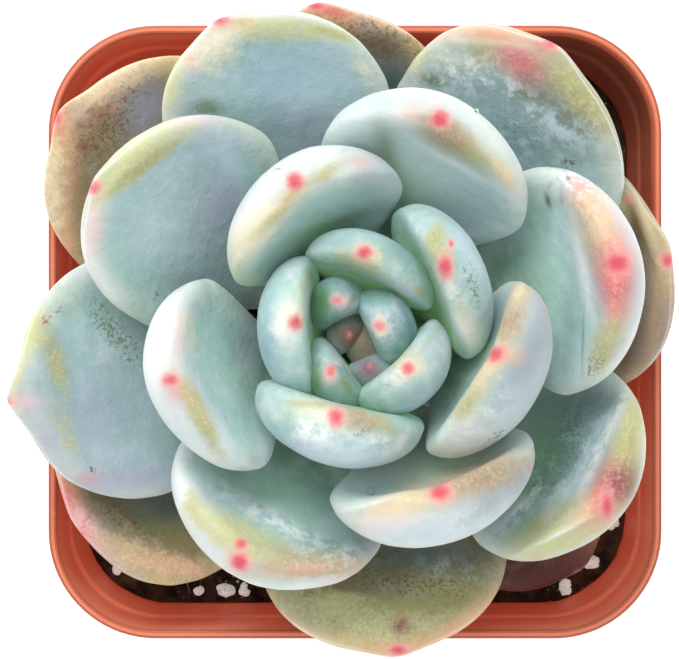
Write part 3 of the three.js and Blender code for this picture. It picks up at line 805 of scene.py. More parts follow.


# Marks on the leaves, by leaf and by how they lie in the skin: a wash is soft, a rub is grainy where the wax
# is worn off, flecks are small dots, chalk is crackled wax, and a ridge stands up by its strength in
# millimetres. Each has a tint and an oval on the picture: across, down, half length, half width, slope in
# degrees and strength. The red spots are such ovals too. Many washes are painted light and shade rather
# than the leaves' own colour: the slate, steel and umber washes paint shade where leaves lie under their
# neighbours, the dark green washes paint the green shade in the crevices between leaves, and some pale ice
# and wax washes paint light onto shaded faces, as on leaves 4, 13 and 15.
TINTS = {name: linear(*steps) for name, steps in {
    "wax": (248, 250, 248), "ice": (206, 226, 236), "sky": (152, 188, 214), "lilac": (168, 170, 192),
    "mauve": (150, 126, 134), "mint": (168, 210, 196), "teal": (92, 140, 140), "fern": (84, 122, 84),
    "moss": (112, 124, 62), "slate": (88, 108, 116), "steel": (140, 158, 172), "olive": (180, 178, 122),
    "lime": (204, 206, 150), "cream": (242, 234, 204), "sand": (226, 208, 170), "tan": (200, 172, 128),
    "peach": (230, 180, 148), "blush": (242, 200, 200), "rose": (232, 120, 124), "plum": (140, 62, 78),
    "khaki": (140, 122, 74), "umber": (108, 92, 68), "bark": (70, 50, 36), "maroon": (98, 22, 26),
    "dun": (170, 148, 118), "sap": (74, 124, 26),
}.items()}
MARKS = {
    1: {"tint_and_shading": [("umber", 350, 336, 26, 24, 0, 1.0), ("plum", 350, 335, 6, 6, 0, 0.9)]},
    2: {"tint_and_shading": [("steel", 368, 366, 26, 26, 0, 0.6), ("mauve", 370, 373, 16, 14, 0, 0.8),
         ("plum", 369, 367, 6, 6, 0, 0.9)]},
    3: {"rub": [("cream", 381, 328, 11, 13, 0, 0.6)], "chalk": [("wax", 389, 325, 12, 12, 0, 0.5)]},
    4: {"tint_and_shading": [("blush", 329, 378, 9, 8, 0, 0.6), ("ice", 330, 350, 16, 14, 0, 0.4),
         ("sap", 316, 380, 7, 18, 0, 0.8), ("steel", 350, 372, 12, 14, -50, 0.3)],
        "rub": [("moss", 346, 384, 13, 5, -60, 0.7)], "chalk": [("wax", 336, 363, 12, 9, 0, 0.6)]},
    5: {"tint_and_shading": [("blush", 347, 301, 7, 6, 0, 0.7), ("fern", 353, 299, 11, 4, 55, 0.6),
         ("fern", 326, 324, 18, 16, 0, 0.65), ("sap", 320, 300, 12, 16, 0, 0.8)]},
    6: {"rub": [("olive", 407, 366, 22, 15, 35, 0.6), ("cream", 408, 368, 14, 13, 0, 0.8),
         ("olive", 430, 340, 16, 6, 50, 0.4)], "chalk": [("wax", 400, 376, 15, 8, 30, 0.8)]},
    7: {"tint_and_shading": [("wax", 288, 322, 15, 22, 0, 0.7), ("sky", 268, 345, 40, 7, 80, 0.4),
         ("sap", 314, 276, 12, 8, -60, 0.8), ("sap", 315, 360, 40, 5, 90, 0.6)],
        "rub": [("moss", 304, 286, 26, 7, 84, 0.45), ("cream", 290, 316, 24, 14, 80, 0.6)],
        "chalk": [("wax", 281, 330, 12, 14, 0, 0.8)]},
    8: {"tint_and_shading": [("cream", 330, 412, 40, 12, -6, 0.7), ("ice", 340, 456, 70, 12, 0, 0.7)],
        "rub": [("olive", 306, 404, 26, 4, -4, 0.7), ("dun", 362, 420, 34, 13, -10, 0.85),
         ("olive", 384, 428, 20, 8, -20, 0.5)], "fleck": [("umber", 363, 432, 12, 4, 20, 0.8)],
        "chalk": [("wax", 312, 432, 30, 14, -20, 1.0), ("wax", 382, 444, 26, 12, 0, 0.8)]},
    9: {"tint_and_shading": [("steel", 340, 242, 34, 10, -8, 0.4), ("sap", 318, 276, 12, 10, 0, 0.9),
         ("sap", 350, 290, 40, 8, -8, 0.6)], "rub": [("olive", 362, 262, 30, 13, -20, 0.75),
         ("olive", 420, 292, 18, 5, -35, 0.6), ("cream", 366, 254, 15, 10, -10, 0.7)],
        "chalk": [("wax", 392, 272, 26, 8, -24, 0.5)]},
    10: {"tint_and_shading": [("wax", 468, 332, 28, 12, -60, 0.8), ("ice", 474, 256, 38, 10, -68, 0.4),
         ("steel", 452, 270, 30, 12, -70, 0.3), ("sap", 424, 300, 14, 30, 20, 0.6)],
        "rub": [("olive", 434, 240, 17, 9, 70, 0.8), ("olive", 442, 258, 30, 14, -80, 0.7),
         ("lime", 462, 312, 24, 9, -70, 0.5)], "fleck": [("fern", 472, 284, 28, 8, -75, 0.9)],
        "chalk": [("wax", 456, 300, 34, 12, -65, 0.7)]},
    11: {"tint_and_shading": [("steel", 532, 350, 66, 24, 76, 0.8), ("peach", 510, 357, 17, 10, 0, 0.8),
         ("ice", 514, 404, 40, 18, 50, 0.5), ("steel", 506, 380, 44, 22, 60, 0.4)],
        "rub": [("dun", 512, 320, 40, 16, 68, 0.9), ("sand", 484, 372, 34, 16, 56, 0.85),
         ("sand", 520, 288, 16, 11, 60, 0.8), ("olive", 466, 404, 24, 11, 52, 0.75)],
        "fleck": [("moss", 496, 437, 15, 6, 30, 1.0)], "chalk": [("wax", 490, 410, 28, 16, 40, 0.6)]},
    12: {"tint_and_shading": [("steel", 372, 178, 28, 24, -60, 0.5), ("wax", 246, 216, 44, 12, 52, 0.6),
         ("blush", 360, 163, 14, 9, 0, 0.6), ("lime", 238, 268, 26, 16, 60, 0.4),
         ("mint", 270, 268, 36, 16, 20, 0.35), ("sap", 330, 226, 50, 7, 20, 0.5),
         ("lime", 246, 284, 22, 10, 0, 0.5)], "rub": [("olive", 326, 174, 24, 9, 30, 0.7),
         ("cream", 254, 232, 44, 18, 46, 0.9), ("olive", 268, 222, 38, 6, 42, 0.75),
         ("tan", 292, 194, 20, 9, 36, 0.7)], "fleck": [("slate", 279, 169, 7, 3, -25, 0.9)]},
    13: {"tint_and_shading": [("dun", 470, 480, 60, 18, 17, 0.9), ("steel", 514, 478, 22, 16, 40, 0.6),
         ("sand", 430, 488, 40, 13, 15, 0.5), ("wax", 386, 500, 40, 2, 14, 0.8),
         ("steel", 484, 504, 50, 18, 20, 0.5), ("ice", 430, 532, 70, 12, 8, 0.7),
         ("blush", 384, 522, 36, 10, 0, 0.4), ("wax", 400, 468, 70, 16, 12, 0.7)],
        "rub": [("dun", 470, 477, 66, 20, 16, 1.1), ("sand", 404, 502, 40, 13, 16, 0.9)],
        "chalk": [("wax", 470, 518, 34, 12, 20, 0.6)], "ridge": [("wax", 398, 497, 42, 3, 17, 0.2)]},
    14: {"tint_and_shading": [("rose", 176, 388, 16, 11, -50, 0.6), ("blush", 178, 340, 44, 8, 88, 0.5),
         ("ice", 214, 412, 50, 3, -60, 0.8), ("ice", 186, 450, 44, 9, -56, 0.5),
         ("wax", 158, 330, 54, 12, 80, 0.8)], "rub": [("tan", 192, 400, 26, 10, -60, 0.95),
         ("olive", 204, 424, 40, 9, -63, 0.95), ("cream", 190, 332, 34, 8, -80, 0.5)]},
    15: {"tint_and_shading": [("blush", 412, 112, 15, 10, 0, 0.7), ("dun", 452, 140, 30, 14, -32, 0.9),
         ("olive", 470, 152, 50, 12, -34, 0.9), ("wax", 462, 168, 50, 4, -30, 0.7),
         ("ice", 370, 110, 50, 16, 20, 0.4), ("ice", 430, 186, 60, 26, -22, 0.5),
         ("wax", 400, 168, 70, 30, -16, 0.4), ("sap", 386, 150, 12, 44, 10, 0.5)],
        "rub": [("dun", 446, 136, 28, 17, -30, 1.0), ("sand", 506, 176, 20, 9, -55, 0.8)]},
    16: {"tint_and_shading": [("rose", 242, 553, 19, 14, -80, 0.75), ("ice", 262, 516, 60, 4, -28, 0.6),
         ("fern", 235, 478, 30, 14, -40, 0.35), ("slate", 310, 505, 50, 26, -10, 0.3),
         ("umber", 352, 552, 34, 12, 0, 0.55), ("slate", 336, 540, 44, 14, 0, 0.4),
         ("blush", 350, 572, 26, 7, 30, 0.6), ("wax", 184, 492, 40, 10, -66, 0.8)],
        "rub": [("olive", 194, 506, 20, 9, -70, 0.7), ("lime", 234, 533, 52, 18, -26, 1.1),
         ("olive", 290, 556, 50, 13, -10, 0.8), ("dun", 322, 564, 60, 12, 2, 0.95),
         ("peach", 300, 570, 40, 8, 4, 0.6)], "chalk": [("wax", 272, 520, 66, 9, -28, 1.0),
         ("ice", 330, 552, 40, 12, 0, 0.8)]},
    17: {"tint_and_shading": [("rose", 580, 194, 18, 12, -50, 0.7), ("plum", 568, 178, 8, 2, -60, 0.9),
         ("bark", 548, 201, 8, 3, -72, 1.0), ("khaki", 562, 202, 4, 2, -80, 0.8),
         ("dun", 598, 236, 40, 16, -66, 0.7), ("rose", 612, 270, 34, 20, -84, 0.75),
         ("plum", 617, 290, 20, 14, 80, 0.75), ("rose", 616, 312, 16, 10, 80, 0.8),
         ("ice", 548, 290, 60, 22, 84, 0.35), ("wax", 582, 262, 60, 6, -80, 0.8),
         ("steel", 570, 320, 50, 10, 88, 0.4), ("slate", 583, 338, 30, 1, 88, 0.7)],
        "rub": [("khaki", 549, 186, 6, 3, 60, 0.6), ("sand", 596, 228, 40, 22, -66, 1.0),
         ("rose", 614, 270, 34, 20, -84, 0.85), ("peach", 590, 206, 20, 14, -50, 0.6),
         ("olive", 606, 344, 34, 15, 66, 0.95)], "fleck": [("khaki", 594, 366, 16, 10, 60, 1.0)],
        "chalk": [("wax", 572, 182, 30, 22, -30, 1.0)]},
    18: {"tint_and_shading": [("slate", 552, 450, 66, 36, 60, 0.85), ("slate", 600, 402, 46, 16, 10, 0.5),
         ("slate", 530, 480, 40, 20, 50, 0.4), ("ice", 592, 452, 56, 3, 58, 0.6),
         ("lime", 634, 430, 60, 14, 82, 0.9), ("olive", 600, 500, 50, 14, 48, 0.8),
         ("rose", 606, 492, 28, 17, 80, 0.9), ("plum", 616, 482, 22, 15, 70, 0.8),
         ("lime", 550, 540, 70, 16, 26, 0.9), ("wax", 566, 530, 46, 2, 27, 0.9),
         ("umber", 629, 486, 22, 9, 78, 0.7), ("rose", 536, 557, 6, 3, 0, 0.8)],
        "rub": [("olive", 626, 440, 54, 16, 76, 1.0), ("olive", 548, 520, 44, 14, 34, 0.95),
         ("lime", 566, 544, 46, 7, 24, 0.95), ("peach", 590, 512, 24, 14, 40, 0.6),
         ("rose", 606, 494, 28, 15, 76, 0.75), ("plum", 618, 482, 18, 13, 70, 0.8)],
        "fleck": [("slate", 560, 450, 60, 24, 60, 1.0)], "chalk": [("ice", 556, 470, 70, 20, 52, 0.6),
         ("ice", 588, 452, 60, 10, 58, 1.0), ("wax", 604, 440, 54, 5, 66, 1.0),
         ("wax", 520, 510, 34, 6, 50, 0.9)], "ridge": [("wax", 568, 527, 48, 3, 27, 0.3)]},
    19: {"tint_and_shading": [("blush", 94, 235, 44, 9, 88, 0.7), ("lilac", 215, 215, 42, 30, 80, 0.7),
         ("moss", 222, 294, 46, 8, -12, 0.45), ("steel", 205, 284, 60, 22, -10, 0.6),
         ("olive", 152, 162, 46, 4, 38, 0.7), ("ice", 150, 220, 50, 44, 70, 0.3),
         ("mint", 112, 262, 44, 22, 70, 0.5), ("wax", 102, 284, 46, 12, -62, 0.6),
         ("blush", 190, 120, 30, 8, 12, 0.4), ("ice", 230, 160, 30, 14, -50, 0.5)],
        "rub": [("lime", 132, 160, 56, 17, 38, 0.95), ("olive", 140, 168, 48, 6, 38, 0.95)],
        "fleck": [("bark", 156, 297, 7, 3, 80, 1.0)], "chalk": [("lilac", 222, 190, 34, 14, -60, 0.7)]},
    20: {"tint_and_shading": [("blush", 192, 58, 12, 9, 60, 0.7), ("rose", 191, 60, 5, 5, 0, 0.5),
         ("sky", 285, 78, 54, 26, 0, 0.6), ("ice", 220, 90, 30, 16, 0, 0.4),
         ("ice", 318, 88, 50, 46, 0, 0.5), ("steel", 300, 126, 60, 22, 0, 0.5)],
        "rub": [("tan", 243, 24, 17, 10, -18, 1.0), ("rose", 222, 20, 13, 9, 0, 0.6),
         ("lime", 290, 30, 44, 13, -4, 0.85), ("olive", 336, 34, 26, 5, -18, 0.95),
         ("cream", 214, 48, 34, 24, 40, 0.8), ("lime", 170, 82, 30, 12, 76, 0.8),
         ("fern", 206, 108, 18, 10, 0, 0.7), ("fern", 245, 140, 30, 9, -55, 0.4),
         ("cream", 362, 70, 24, 9, -60, 0.5)]},
    21: {"tint_and_shading": [("peach", 496, 34, 60, 11, -5, 0.95), ("cream", 500, 44, 50, 4, -5, 0.8),
         ("blush", 433, 35, 12, 7, 0, 0.6), ("cream", 452, 62, 26, 14, 0, 0.4),
         ("rose", 522, 62, 30, 14, -24, 0.7), ("rose", 546, 46, 16, 11, 0, 0.7),
         ("moss", 530, 93, 24, 7, 0, 0.7), ("olive", 588, 102, 54, 22, -50, 0.9),
         ("umber", 562, 108, 54, 36, -40, 0.55), ("slate", 525, 146, 60, 26, 0, 0.5),
         ("steel", 480, 92, 46, 16, -20, 0.6)], "rub": [("lime", 416, 54, 20, 14, 60, 0.95),
         ("fern", 432, 80, 15, 8, -20, 0.95), ("olive", 485, 56, 26, 14, -20, 0.8),
         ("plum", 526, 80, 20, 10, -20, 0.6), ("rose", 520, 62, 28, 13, -24, 0.7),
         ("olive", 564, 72, 24, 15, -60, 0.7), ("olive", 584, 104, 46, 14, -45, 0.6)],
        "fleck": [("bark", 571, 162, 12, 5, 0, 1.0), ("slate", 520, 130, 60, 26, -20, 0.5)],
        "chalk": [("wax", 455, 66, 34, 24, 0, 1.0), ("ice", 548, 120, 60, 16, -24, 0.85),
         ("ice", 505, 142, 60, 24, 0, 0.6), ("wax", 500, 84, 34, 10, -30, 0.9)]},
    22: {"tint_and_shading": [("blush", 22, 402, 22, 9, 0, 0.8), ("fern", 58, 368, 50, 12, -74, 0.3),
         ("steel", 110, 410, 64, 46, 0, 0.4), ("lilac", 90, 420, 70, 50, 0, 0.35),
         ("rose", 90, 478, 14, 7, 0, 0.5), ("lilac", 130, 478, 56, 16, 8, 0.75),
         ("lilac", 46, 440, 40, 9, -56, 0.5)], "rub": [("lime", 32, 330, 30, 14, 74, 0.95),
         ("olive", 56, 362, 36, 11, -74, 0.75), ("olive", 64, 430, 34, 12, -60, 0.5),
         ("sand", 17, 378, 26, 4, 76, 0.7)], "fleck": [("plum", 46, 320, 7, 6, 0, 1.0),
         ("mauve", 60, 311, 6, 5, 0, 1.0), ("moss", 116, 335, 50, 14, -50, 1.0),
         ("bark", 92, 470, 5, 4, 0, 1.0)]},
    23: {"tint_and_shading": [("umber", 632, 290, 110, 12, 84, 0.9), ("mauve", 648, 320, 70, 14, 84, 0.55),
         ("khaki", 640, 226, 40, 12, -68, 0.5), ("bark", 634, 240, 90, 10, 84, 0.5),
         ("sand", 644, 214, 44, 5, -68, 0.7), ("tan", 654, 310, 50, 5, 84, 0.6),
         ("rose", 628, 199, 5, 5, 0, 0.7), ("slate", 616, 182, 20, 16, 0, 0.6),
         ("mauve", 666, 325, 50, 8, 82, 0.6), ("peach", 640, 378, 18, 8, 0, 0.5)],
        "ridge": [("wax", 641, 222, 44, 5, -68, 0.4)]},
    24: {"tint_and_shading": [("umber", 112, 506, 54, 22, -30, 0.5), ("moss", 150, 520, 44, 20, -16, 0.5),
         ("slate", 165, 502, 44, 14, 0, 0.5), ("rose", 66, 500, 44, 12, -62, 0.85),
         ("slate", 170, 508, 30, 14, 0, 0.6), ("peach", 55, 470, 24, 10, 80, 0.7),
         ("dun", 176, 570, 60, 10, -8, 0.5), ("rose", 84, 532, 14, 8, -60, 0.7)],
        "rub": [("dun", 120, 520, 50, 9, -32, 0.5), ("peach", 176, 566, 60, 12, -8, 0.8),
         ("tan", 130, 548, 44, 10, -24, 0.8), ("rose", 76, 518, 30, 9, -60, 0.7),
         ("plum", 84, 532, 8, 6, -60, 0.7)], "fleck": [("bark", 124, 520, 50, 16, -30, 0.6)],
        "chalk": [("blush", 82, 520, 22, 12, -60, 0.9)]},
    25: {"tint_and_shading": [("moss", 400, 566, 100, 26, 0, 0.6), ("slate", 420, 556, 80, 14, 0, 0.7),
         ("olive", 450, 590, 46, 18, 0, 0.9), ("umber", 350, 596, 46, 14, -10, 0.6),
         ("olive", 390, 608, 80, 16, -2, 0.7), ("sand", 310, 634, 56, 8, -20, 0.7),
         ("peach", 468, 622, 60, 11, 34, 0.9), ("peach", 400, 648, 40, 6, 0, 0.7)],
        "rub": [("lime", 335, 610, 60, 22, -14, 0.9), ("lime", 420, 622, 60, 14, 12, 0.5),
         ("plum", 401, 625, 9, 9, 0, 0.95)], "fleck": [("umber", 410, 580, 90, 20, 0, 0.9),
         ("plum", 459, 594, 5, 4, 0, 1.0)], "chalk": [("ice", 440, 570, 60, 16, 0, 0.5)]},
    26: {"tint_and_shading": [("rose", 330, 10, 26, 9, -16, 0.8), ("umber", 386, 46, 34, 18, -20, 0.85),
         ("slate", 390, 80, 22, 20, 0, 0.95)], "rub": [("peach", 400, 24, 36, 9, -14, 0.7)],
        "fleck": [("umber", 370, 36, 60, 20, -14, 1.0)]},
    27: {"tint_and_shading": [("lilac", 146, 108, 32, 22, 60, 0.9), ("rose", 58, 122, 22, 12, 80, 0.7),
         ("peach", 66, 190, 70, 12, 84, 0.6), ("plum", 132, 77, 4, 4, 0, 0.9),
         ("plum", 91, 110, 4, 3, 0, 0.9), ("plum", 80, 126, 4, 3, 0, 0.7), ("plum", 84, 147, 5, 4, 0, 0.9),
         ("plum", 95, 146, 3, 3, 0, 0.7), ("peach", 62, 250, 26, 12, 70, 0.7),
         ("sand", 100, 76, 60, 9, 28, 0.8)], "rub": [("sand", 112, 84, 50, 16, 32, 0.7),
         ("rose", 104, 116, 44, 16, 50, 0.3), ("sand", 54, 190, 60, 12, 88, 0.8)],
        "fleck": [("umber", 108, 124, 54, 22, 50, 1.0)], "chalk": [("cream", 60, 200, 60, 8, 84, 0.5)]},
    28: {"tint_and_shading": [("maroon", 550, 578, 120, 70, 20, 1.0)], "fleck": [("bark", 540, 578, 60, 20, 10, 1.0)],
        "chalk": [("mauve", 530, 566, 30, 5, 10, 0.5)]},
}
LAYERS = ("tint_and_shading", "rub", "fleck", "chalk")
RED_SPOTS = {
    1: [(350, 335, 5, 5, 0, 0.4)], 2: [(369, 367, 5, 5, 0, 0.45)], 3: [(380, 326, 9, 9, 0, 0.7)],
    4: [(331, 371, 7, 9, 0, 0.9)], 5: [(337, 300, 8, 7, 0, 0.75)], 6: [(408, 368, 9, 9, 0, 0.95)],
    7: [(296, 323, 9, 10, 0, 1.0)], 8: [(336, 417, 10, 14, 0, 1.0)], 9: [(364, 252, 10, 9, 0, 1.0)],
    10: [(445, 267, 9, 15, 0, 1.05), (451, 243, 4, 6, 0, 0.9)], 11: [(495, 354, 13, 11, 0, 1.05)],
    12: [(295, 181, 10, 12, 0, 1.05)], 13: [(440, 492, 14, 12, 0, 1.1)],
    14: [(170, 380, 10, 8, 0, 1.0)], 15: [(440, 119, 12, 12, 0, 1.05)],
    16: [(241, 544, 8, 8, 0, 0.95), (240, 562, 11, 11, 0, 1.1)],
    17: [(617, 263, 16, 13, 0, 1.1), (605, 266, 9, 5, 0, 0.8)], 18: [(607, 505, 8, 18, 0, 0.95)],
    19: [(92, 188, 12, 9, 0, 0.9)], 20: [(220, 18, 13, 9, 0, 1.0)], 21: [(551, 42, 11, 8, 0, 1.0)],
    22: [(5, 402, 10, 6, 0, 0.9)], 23: [(668, 260, 10, 10, 0, 1.0)], 24: [(82, 534, 8, 6, 0, 0.8)],
    25: [(398, 650, 12, 7, 0, 1.0)], 26: [(315, 5, 12, 7, 0, 1.0)], 27: [(57, 118, 7, 12, 0, 0.85)],
    28: [(584, 570, 14, 4, 30, 0.6)],
}


def oval_cover(points, seen, oval):
    """How much an oval mark covers each point: a bell over its half length and half width on the picture,
    that fades too where the skin drops away below or above the mark's middle."""
    across, down, length, width, slope, strength = oval
    off = seen - np.array([across, down])
    near = np.hypot(off[:, 0], off[:, 1])
    middle = points[near < max(4.0, near.min() + 0.5), 2].max()
    angle = np.radians(slope)
    run = off[:, 0] * np.cos(angle) - off[:, 1] * np.sin(angle)
    rise = off[:, 0] * np.sin(angle) + off[:, 1] * np.cos(angle)
    depth = MARK_DEPTH + MARK_REACH * max(length, width)
    far = (run / length) ** 2 + (rise / width) ** 2 + ((points[:, 2] - middle) / depth) ** 2
    return strength * np.exp(-far)


def covered(under, tint, cover):
    """Lays a tint over colours with cover, each row red, green, blue and its own cover."""
    total = cover + under[:, 3] * (1 - cover)
    share = np.divide(cover, total, out=np.zeros_like(cover), where=total > 1e-6)[:, None]
    mixed = np.array(tint[:3]) * share + under[:, :3] * (1 - share)
    return np.concatenate([mixed, total[:, None]], axis=1)


def leaf_flesh(name, foot, face, crest, back, painted_glow_colour, crest_width, back_width, film, fur, rim_highlight, bloom,
               painted_glow_from):
    """The skin of one ring of leaves. foot and face are the upper side's colours from the stem outward, the
    foot's dark green partly the leaves' greener base and partly painted shade for the crevices between them,
    crest the rolled rim, back the underside, and the widths say how far from the rim the crest reaches on
    either side. film is the share of white wax, fur the strength of strokes that run in from the rim,
    rim_highlight that of a painted highlight along it, and bloom how much the dust of wax glows at the
    edges. painted_glow_colour is a painted glow, emission that stands in for the light that comes through
    the flesh, from painted_glow_from inside the rim."""
    skin = Finish(name)
    spot = skin.place()
    haze = skin.noise(spot, 120.0, 2.0, 0.5)
    cloud = skin.noise(spot, 240.0, 2.0, 0.5)
    mottle = skin.noise(spot, 800.0, 2.0, 0.6)
    grain = skin.noise(spot, 2600.0, 2.0, 0.7)
    wobble = skin.times(skin.minus(cloud, 0.5), 2.4)
    margin = skin.plus(skin.read("margin"), wobble)
    # The foot's dark green is partly the leaves' own greener base and partly painted shade for the crevices
    # between them.
    colour = skin.mix(skin.ease(skin.read("along"), 0.2, 0.66), foot, face)
    colour = skin.mix(skin.ease(margin, crest_width, 0.0), colour, crest)
    under = skin.times(skin.ease(margin, -0.3 * back_width, -back_width),
                      skin.ease(skin.read("along"), 0.1, 0.62))
    colour = skin.mix(under, colour, back)
    patchy = skin.plus(cloud, mottle)
    uneven = skin.minus(skin.plus(grain, mottle), 1.0)
    crease = skin.absolute(skin.minus(mottle, 0.5))
    colour = skin.mix(skin.ease(haze, 0.5, 0.66, 0.0, 0.3), colour, linear(188, 192, 214))
    colour = skin.mix(skin.ease(haze, 0.48, 0.34, 0.0, 0.25), colour, linear(168, 206, 184))
    colour = skin.mix(skin.ease(patchy, 0.94, 1.3, 0.0, film), colour, linear(232, 240, 242))
    colour = skin.mix(skin.ease(patchy, 0.98, 0.7, 0.0, 0.14), colour, linear(96, 128, 116))
    if fur:
        fringe = skin.node("ShaderNodeUVMap", uv_map="rim")
        stroke = skin.noise(skin.stretch(fringe, (1.4, 4.6, 1.0)), 1.0, 2.0, 0.75)
        colour = skin.mix(skin.ease(stroke, 0.36, 0.6, fur, 0.0), colour, linear(110, 96, 66))
        colour = skin.mix(skin.ease(stroke, 0.54, 0.7, 0.0, 0.7 * fur), colour, linear(226, 212, 168))
    tint_and_shading, rub, fleck, chalk = ((skin.read(layer, "Color"), skin.read(layer, "Alpha")) for layer in LAYERS)
    # The washes lay on tints of the leaves and also painted light and shade: dark ones where leaves lie in
    # shade and in the crevices, pale ones on shaded faces.
    colour = skin.mix(tint_and_shading[1], colour, tint_and_shading[0])
    frayed = skin.plus(rub[1], skin.times(uneven, 0.9))
    worn = skin.times(skin.ease(frayed, 0.0, 0.95, 0.0, 0.95), skin.ease(rub[1], 0.02, 0.35))
    rubbed = skin.mix(skin.ease(grain, 0.4, 0.7, 0.0, 0.26), rub[0], linear(240, 236, 214))
    colour = skin.mix(worn, colour, rubbed)
    smear = skin.ease(skin.plus(patchy, skin.times(grain, 0.6)), 1.14, 1.5)
    flake = skin.plus(smear, skin.ease(crease, 0.02, 0.0, 0.0, 0.3), clamp=True)
    flaked = skin.times(flake, chalk[1])
    colour = skin.mix(skin.times(flaked, 0.85), colour, chalk[0])
    dotted = skin.ease(skin.plus(grain, skin.times(fleck[1], 0.2)), 0.66, 0.76)
    dotted = skin.plus(dotted, skin.ease(crease, 0.03, 0.0, 0.0, 0.6), clamp=True)
    dotted = skin.times(dotted, skin.ease(fleck[1], 0.05, 0.6, 0.0, 0.7))
    colour = skin.mix(dotted, colour, fleck[0])
    # A painted highlight: a pale line along the rim.
    line = skin.ease(skin.absolute(skin.read("margin")), 0.22, 0.03, 0.0, rim_highlight)
    colour = skin.mix(line, colour, linear(244, 247, 244))
    red = skin.read("red")
    halo = skin.plus(red, skin.times(uneven, 0.4))
    colour = skin.mix(skin.ease(halo, 0.06, 0.75, 0.0, 0.75), colour, linear(240, 178, 172))
    core = skin.plus(red, skin.times(uneven, 0.35))
    colour = skin.mix(skin.ease(core, 0.3, 1.1, 0.0, 0.88), colour, linear(220, 68, 94))
    # A painted glow: emission on the upper face inside the rim, over the lower half of the leaf, in place of
    # light through the flesh.
    painted_glow = skin.times(skin.ease(skin.read("margin"), painted_glow_from, 3.5 * painted_glow_from),
                            skin.ease(skin.read("along"), 0.9, 0.55))
    painted_glow = skin.times(painted_glow, skin.ease(skin.read("along"), 0.12, 0.5))
    skin.set(Base_Color=colour, Emission_Color=painted_glow_colour, Emission_Strength=painted_glow)
    skin.set(Roughness=skin.ease(skin.plus(flaked, worn), 0.0, 1.0, 0.46, 0.62))
    skin.set(Specular_IOR_Level=0.36)
    skin.set(Subsurface_Weight=0.3, Subsurface_Radius=(0.7, 1.0, 0.65), Subsurface_Scale=0.0012)
    skin.set(Sheen_Weight=bloom, Sheen_Roughness=0.4)
    skin.bump(skin.plus(patchy, skin.times(grain, 0.5)), 0.3, 0.0004)
    return skin


# What leaf_flesh takes after the name, for each ring of leaves. The first colour, the foot's dark green, is
# partly painted crevice shade, and the fifth is a painted glow.
SKINS = {
    "heart": ((50, 110, 18), (120, 162, 148), (132, 172, 166), (126, 162, 168), (60, 92, 50),
              2.2, 3.0, 0.3, 0.0, 0.0, 0.2, 0.8),
    "inner": ((50, 112, 18), (142, 188, 168), (178, 208, 204), (170, 202, 216), (66, 96, 58),
              2.6, 3.6, 0.35, 0.0, 0.0, 0.25, 0.6),
    "middle": ((66, 130, 40), (182, 216, 210), (220, 230, 226), (208, 222, 228), (56, 88, 40),
               3.8, 9.0, 0.25, 0.0, 0.0, 0.3, 3.0),
    "outer": ((116, 146, 100), (168, 198, 198), (210, 216, 204), (200, 210, 208), (40, 60, 34),
              3.0, 8.0, 0.25, 0.05, 0.4, 0.3, 6.0),
    "lowest": ((112, 116, 96), (150, 134, 98), (216, 190, 136), (186, 146, 108), (0, 0, 0),
               2.8, 8.0, 0.06, 0.26, 0.25, 0.15, 40.0),
}
FLESH = {ring: leaf_flesh(f"{ring}_flesh", *(linear(*steps) for steps in row[:5]), *row[5:])
         for ring, row in SKINS.items()}
FLESH["bud"] = FLESH["heart"]
# How deep the face is hollowed inside the rim and how proud the rim stands, in millimetres.
HOLLOW = {"bud": 0.0, "heart": 0.0, "inner": 0.1, "middle": 0.25, "outer": 0.2, "lowest": 0.25}
RIM_SWELL = {"bud": 0.0, "heart": 0.05, "inner": 0.12, "middle": 0.22, "outer": 0.1, "lowest": 0.1}
RIM_SWELL_AT, RIM_SWELL_SPREAD = 1.3, 1.0  # millimetres inside the rim
HOLLOW_FROM_TO = (1.5, 5.0)
BIG_DENT, SMALL_DENT = (0.10, 4.5), (0.03, 1.3)  # depth and size of the soft dents, in millimetres

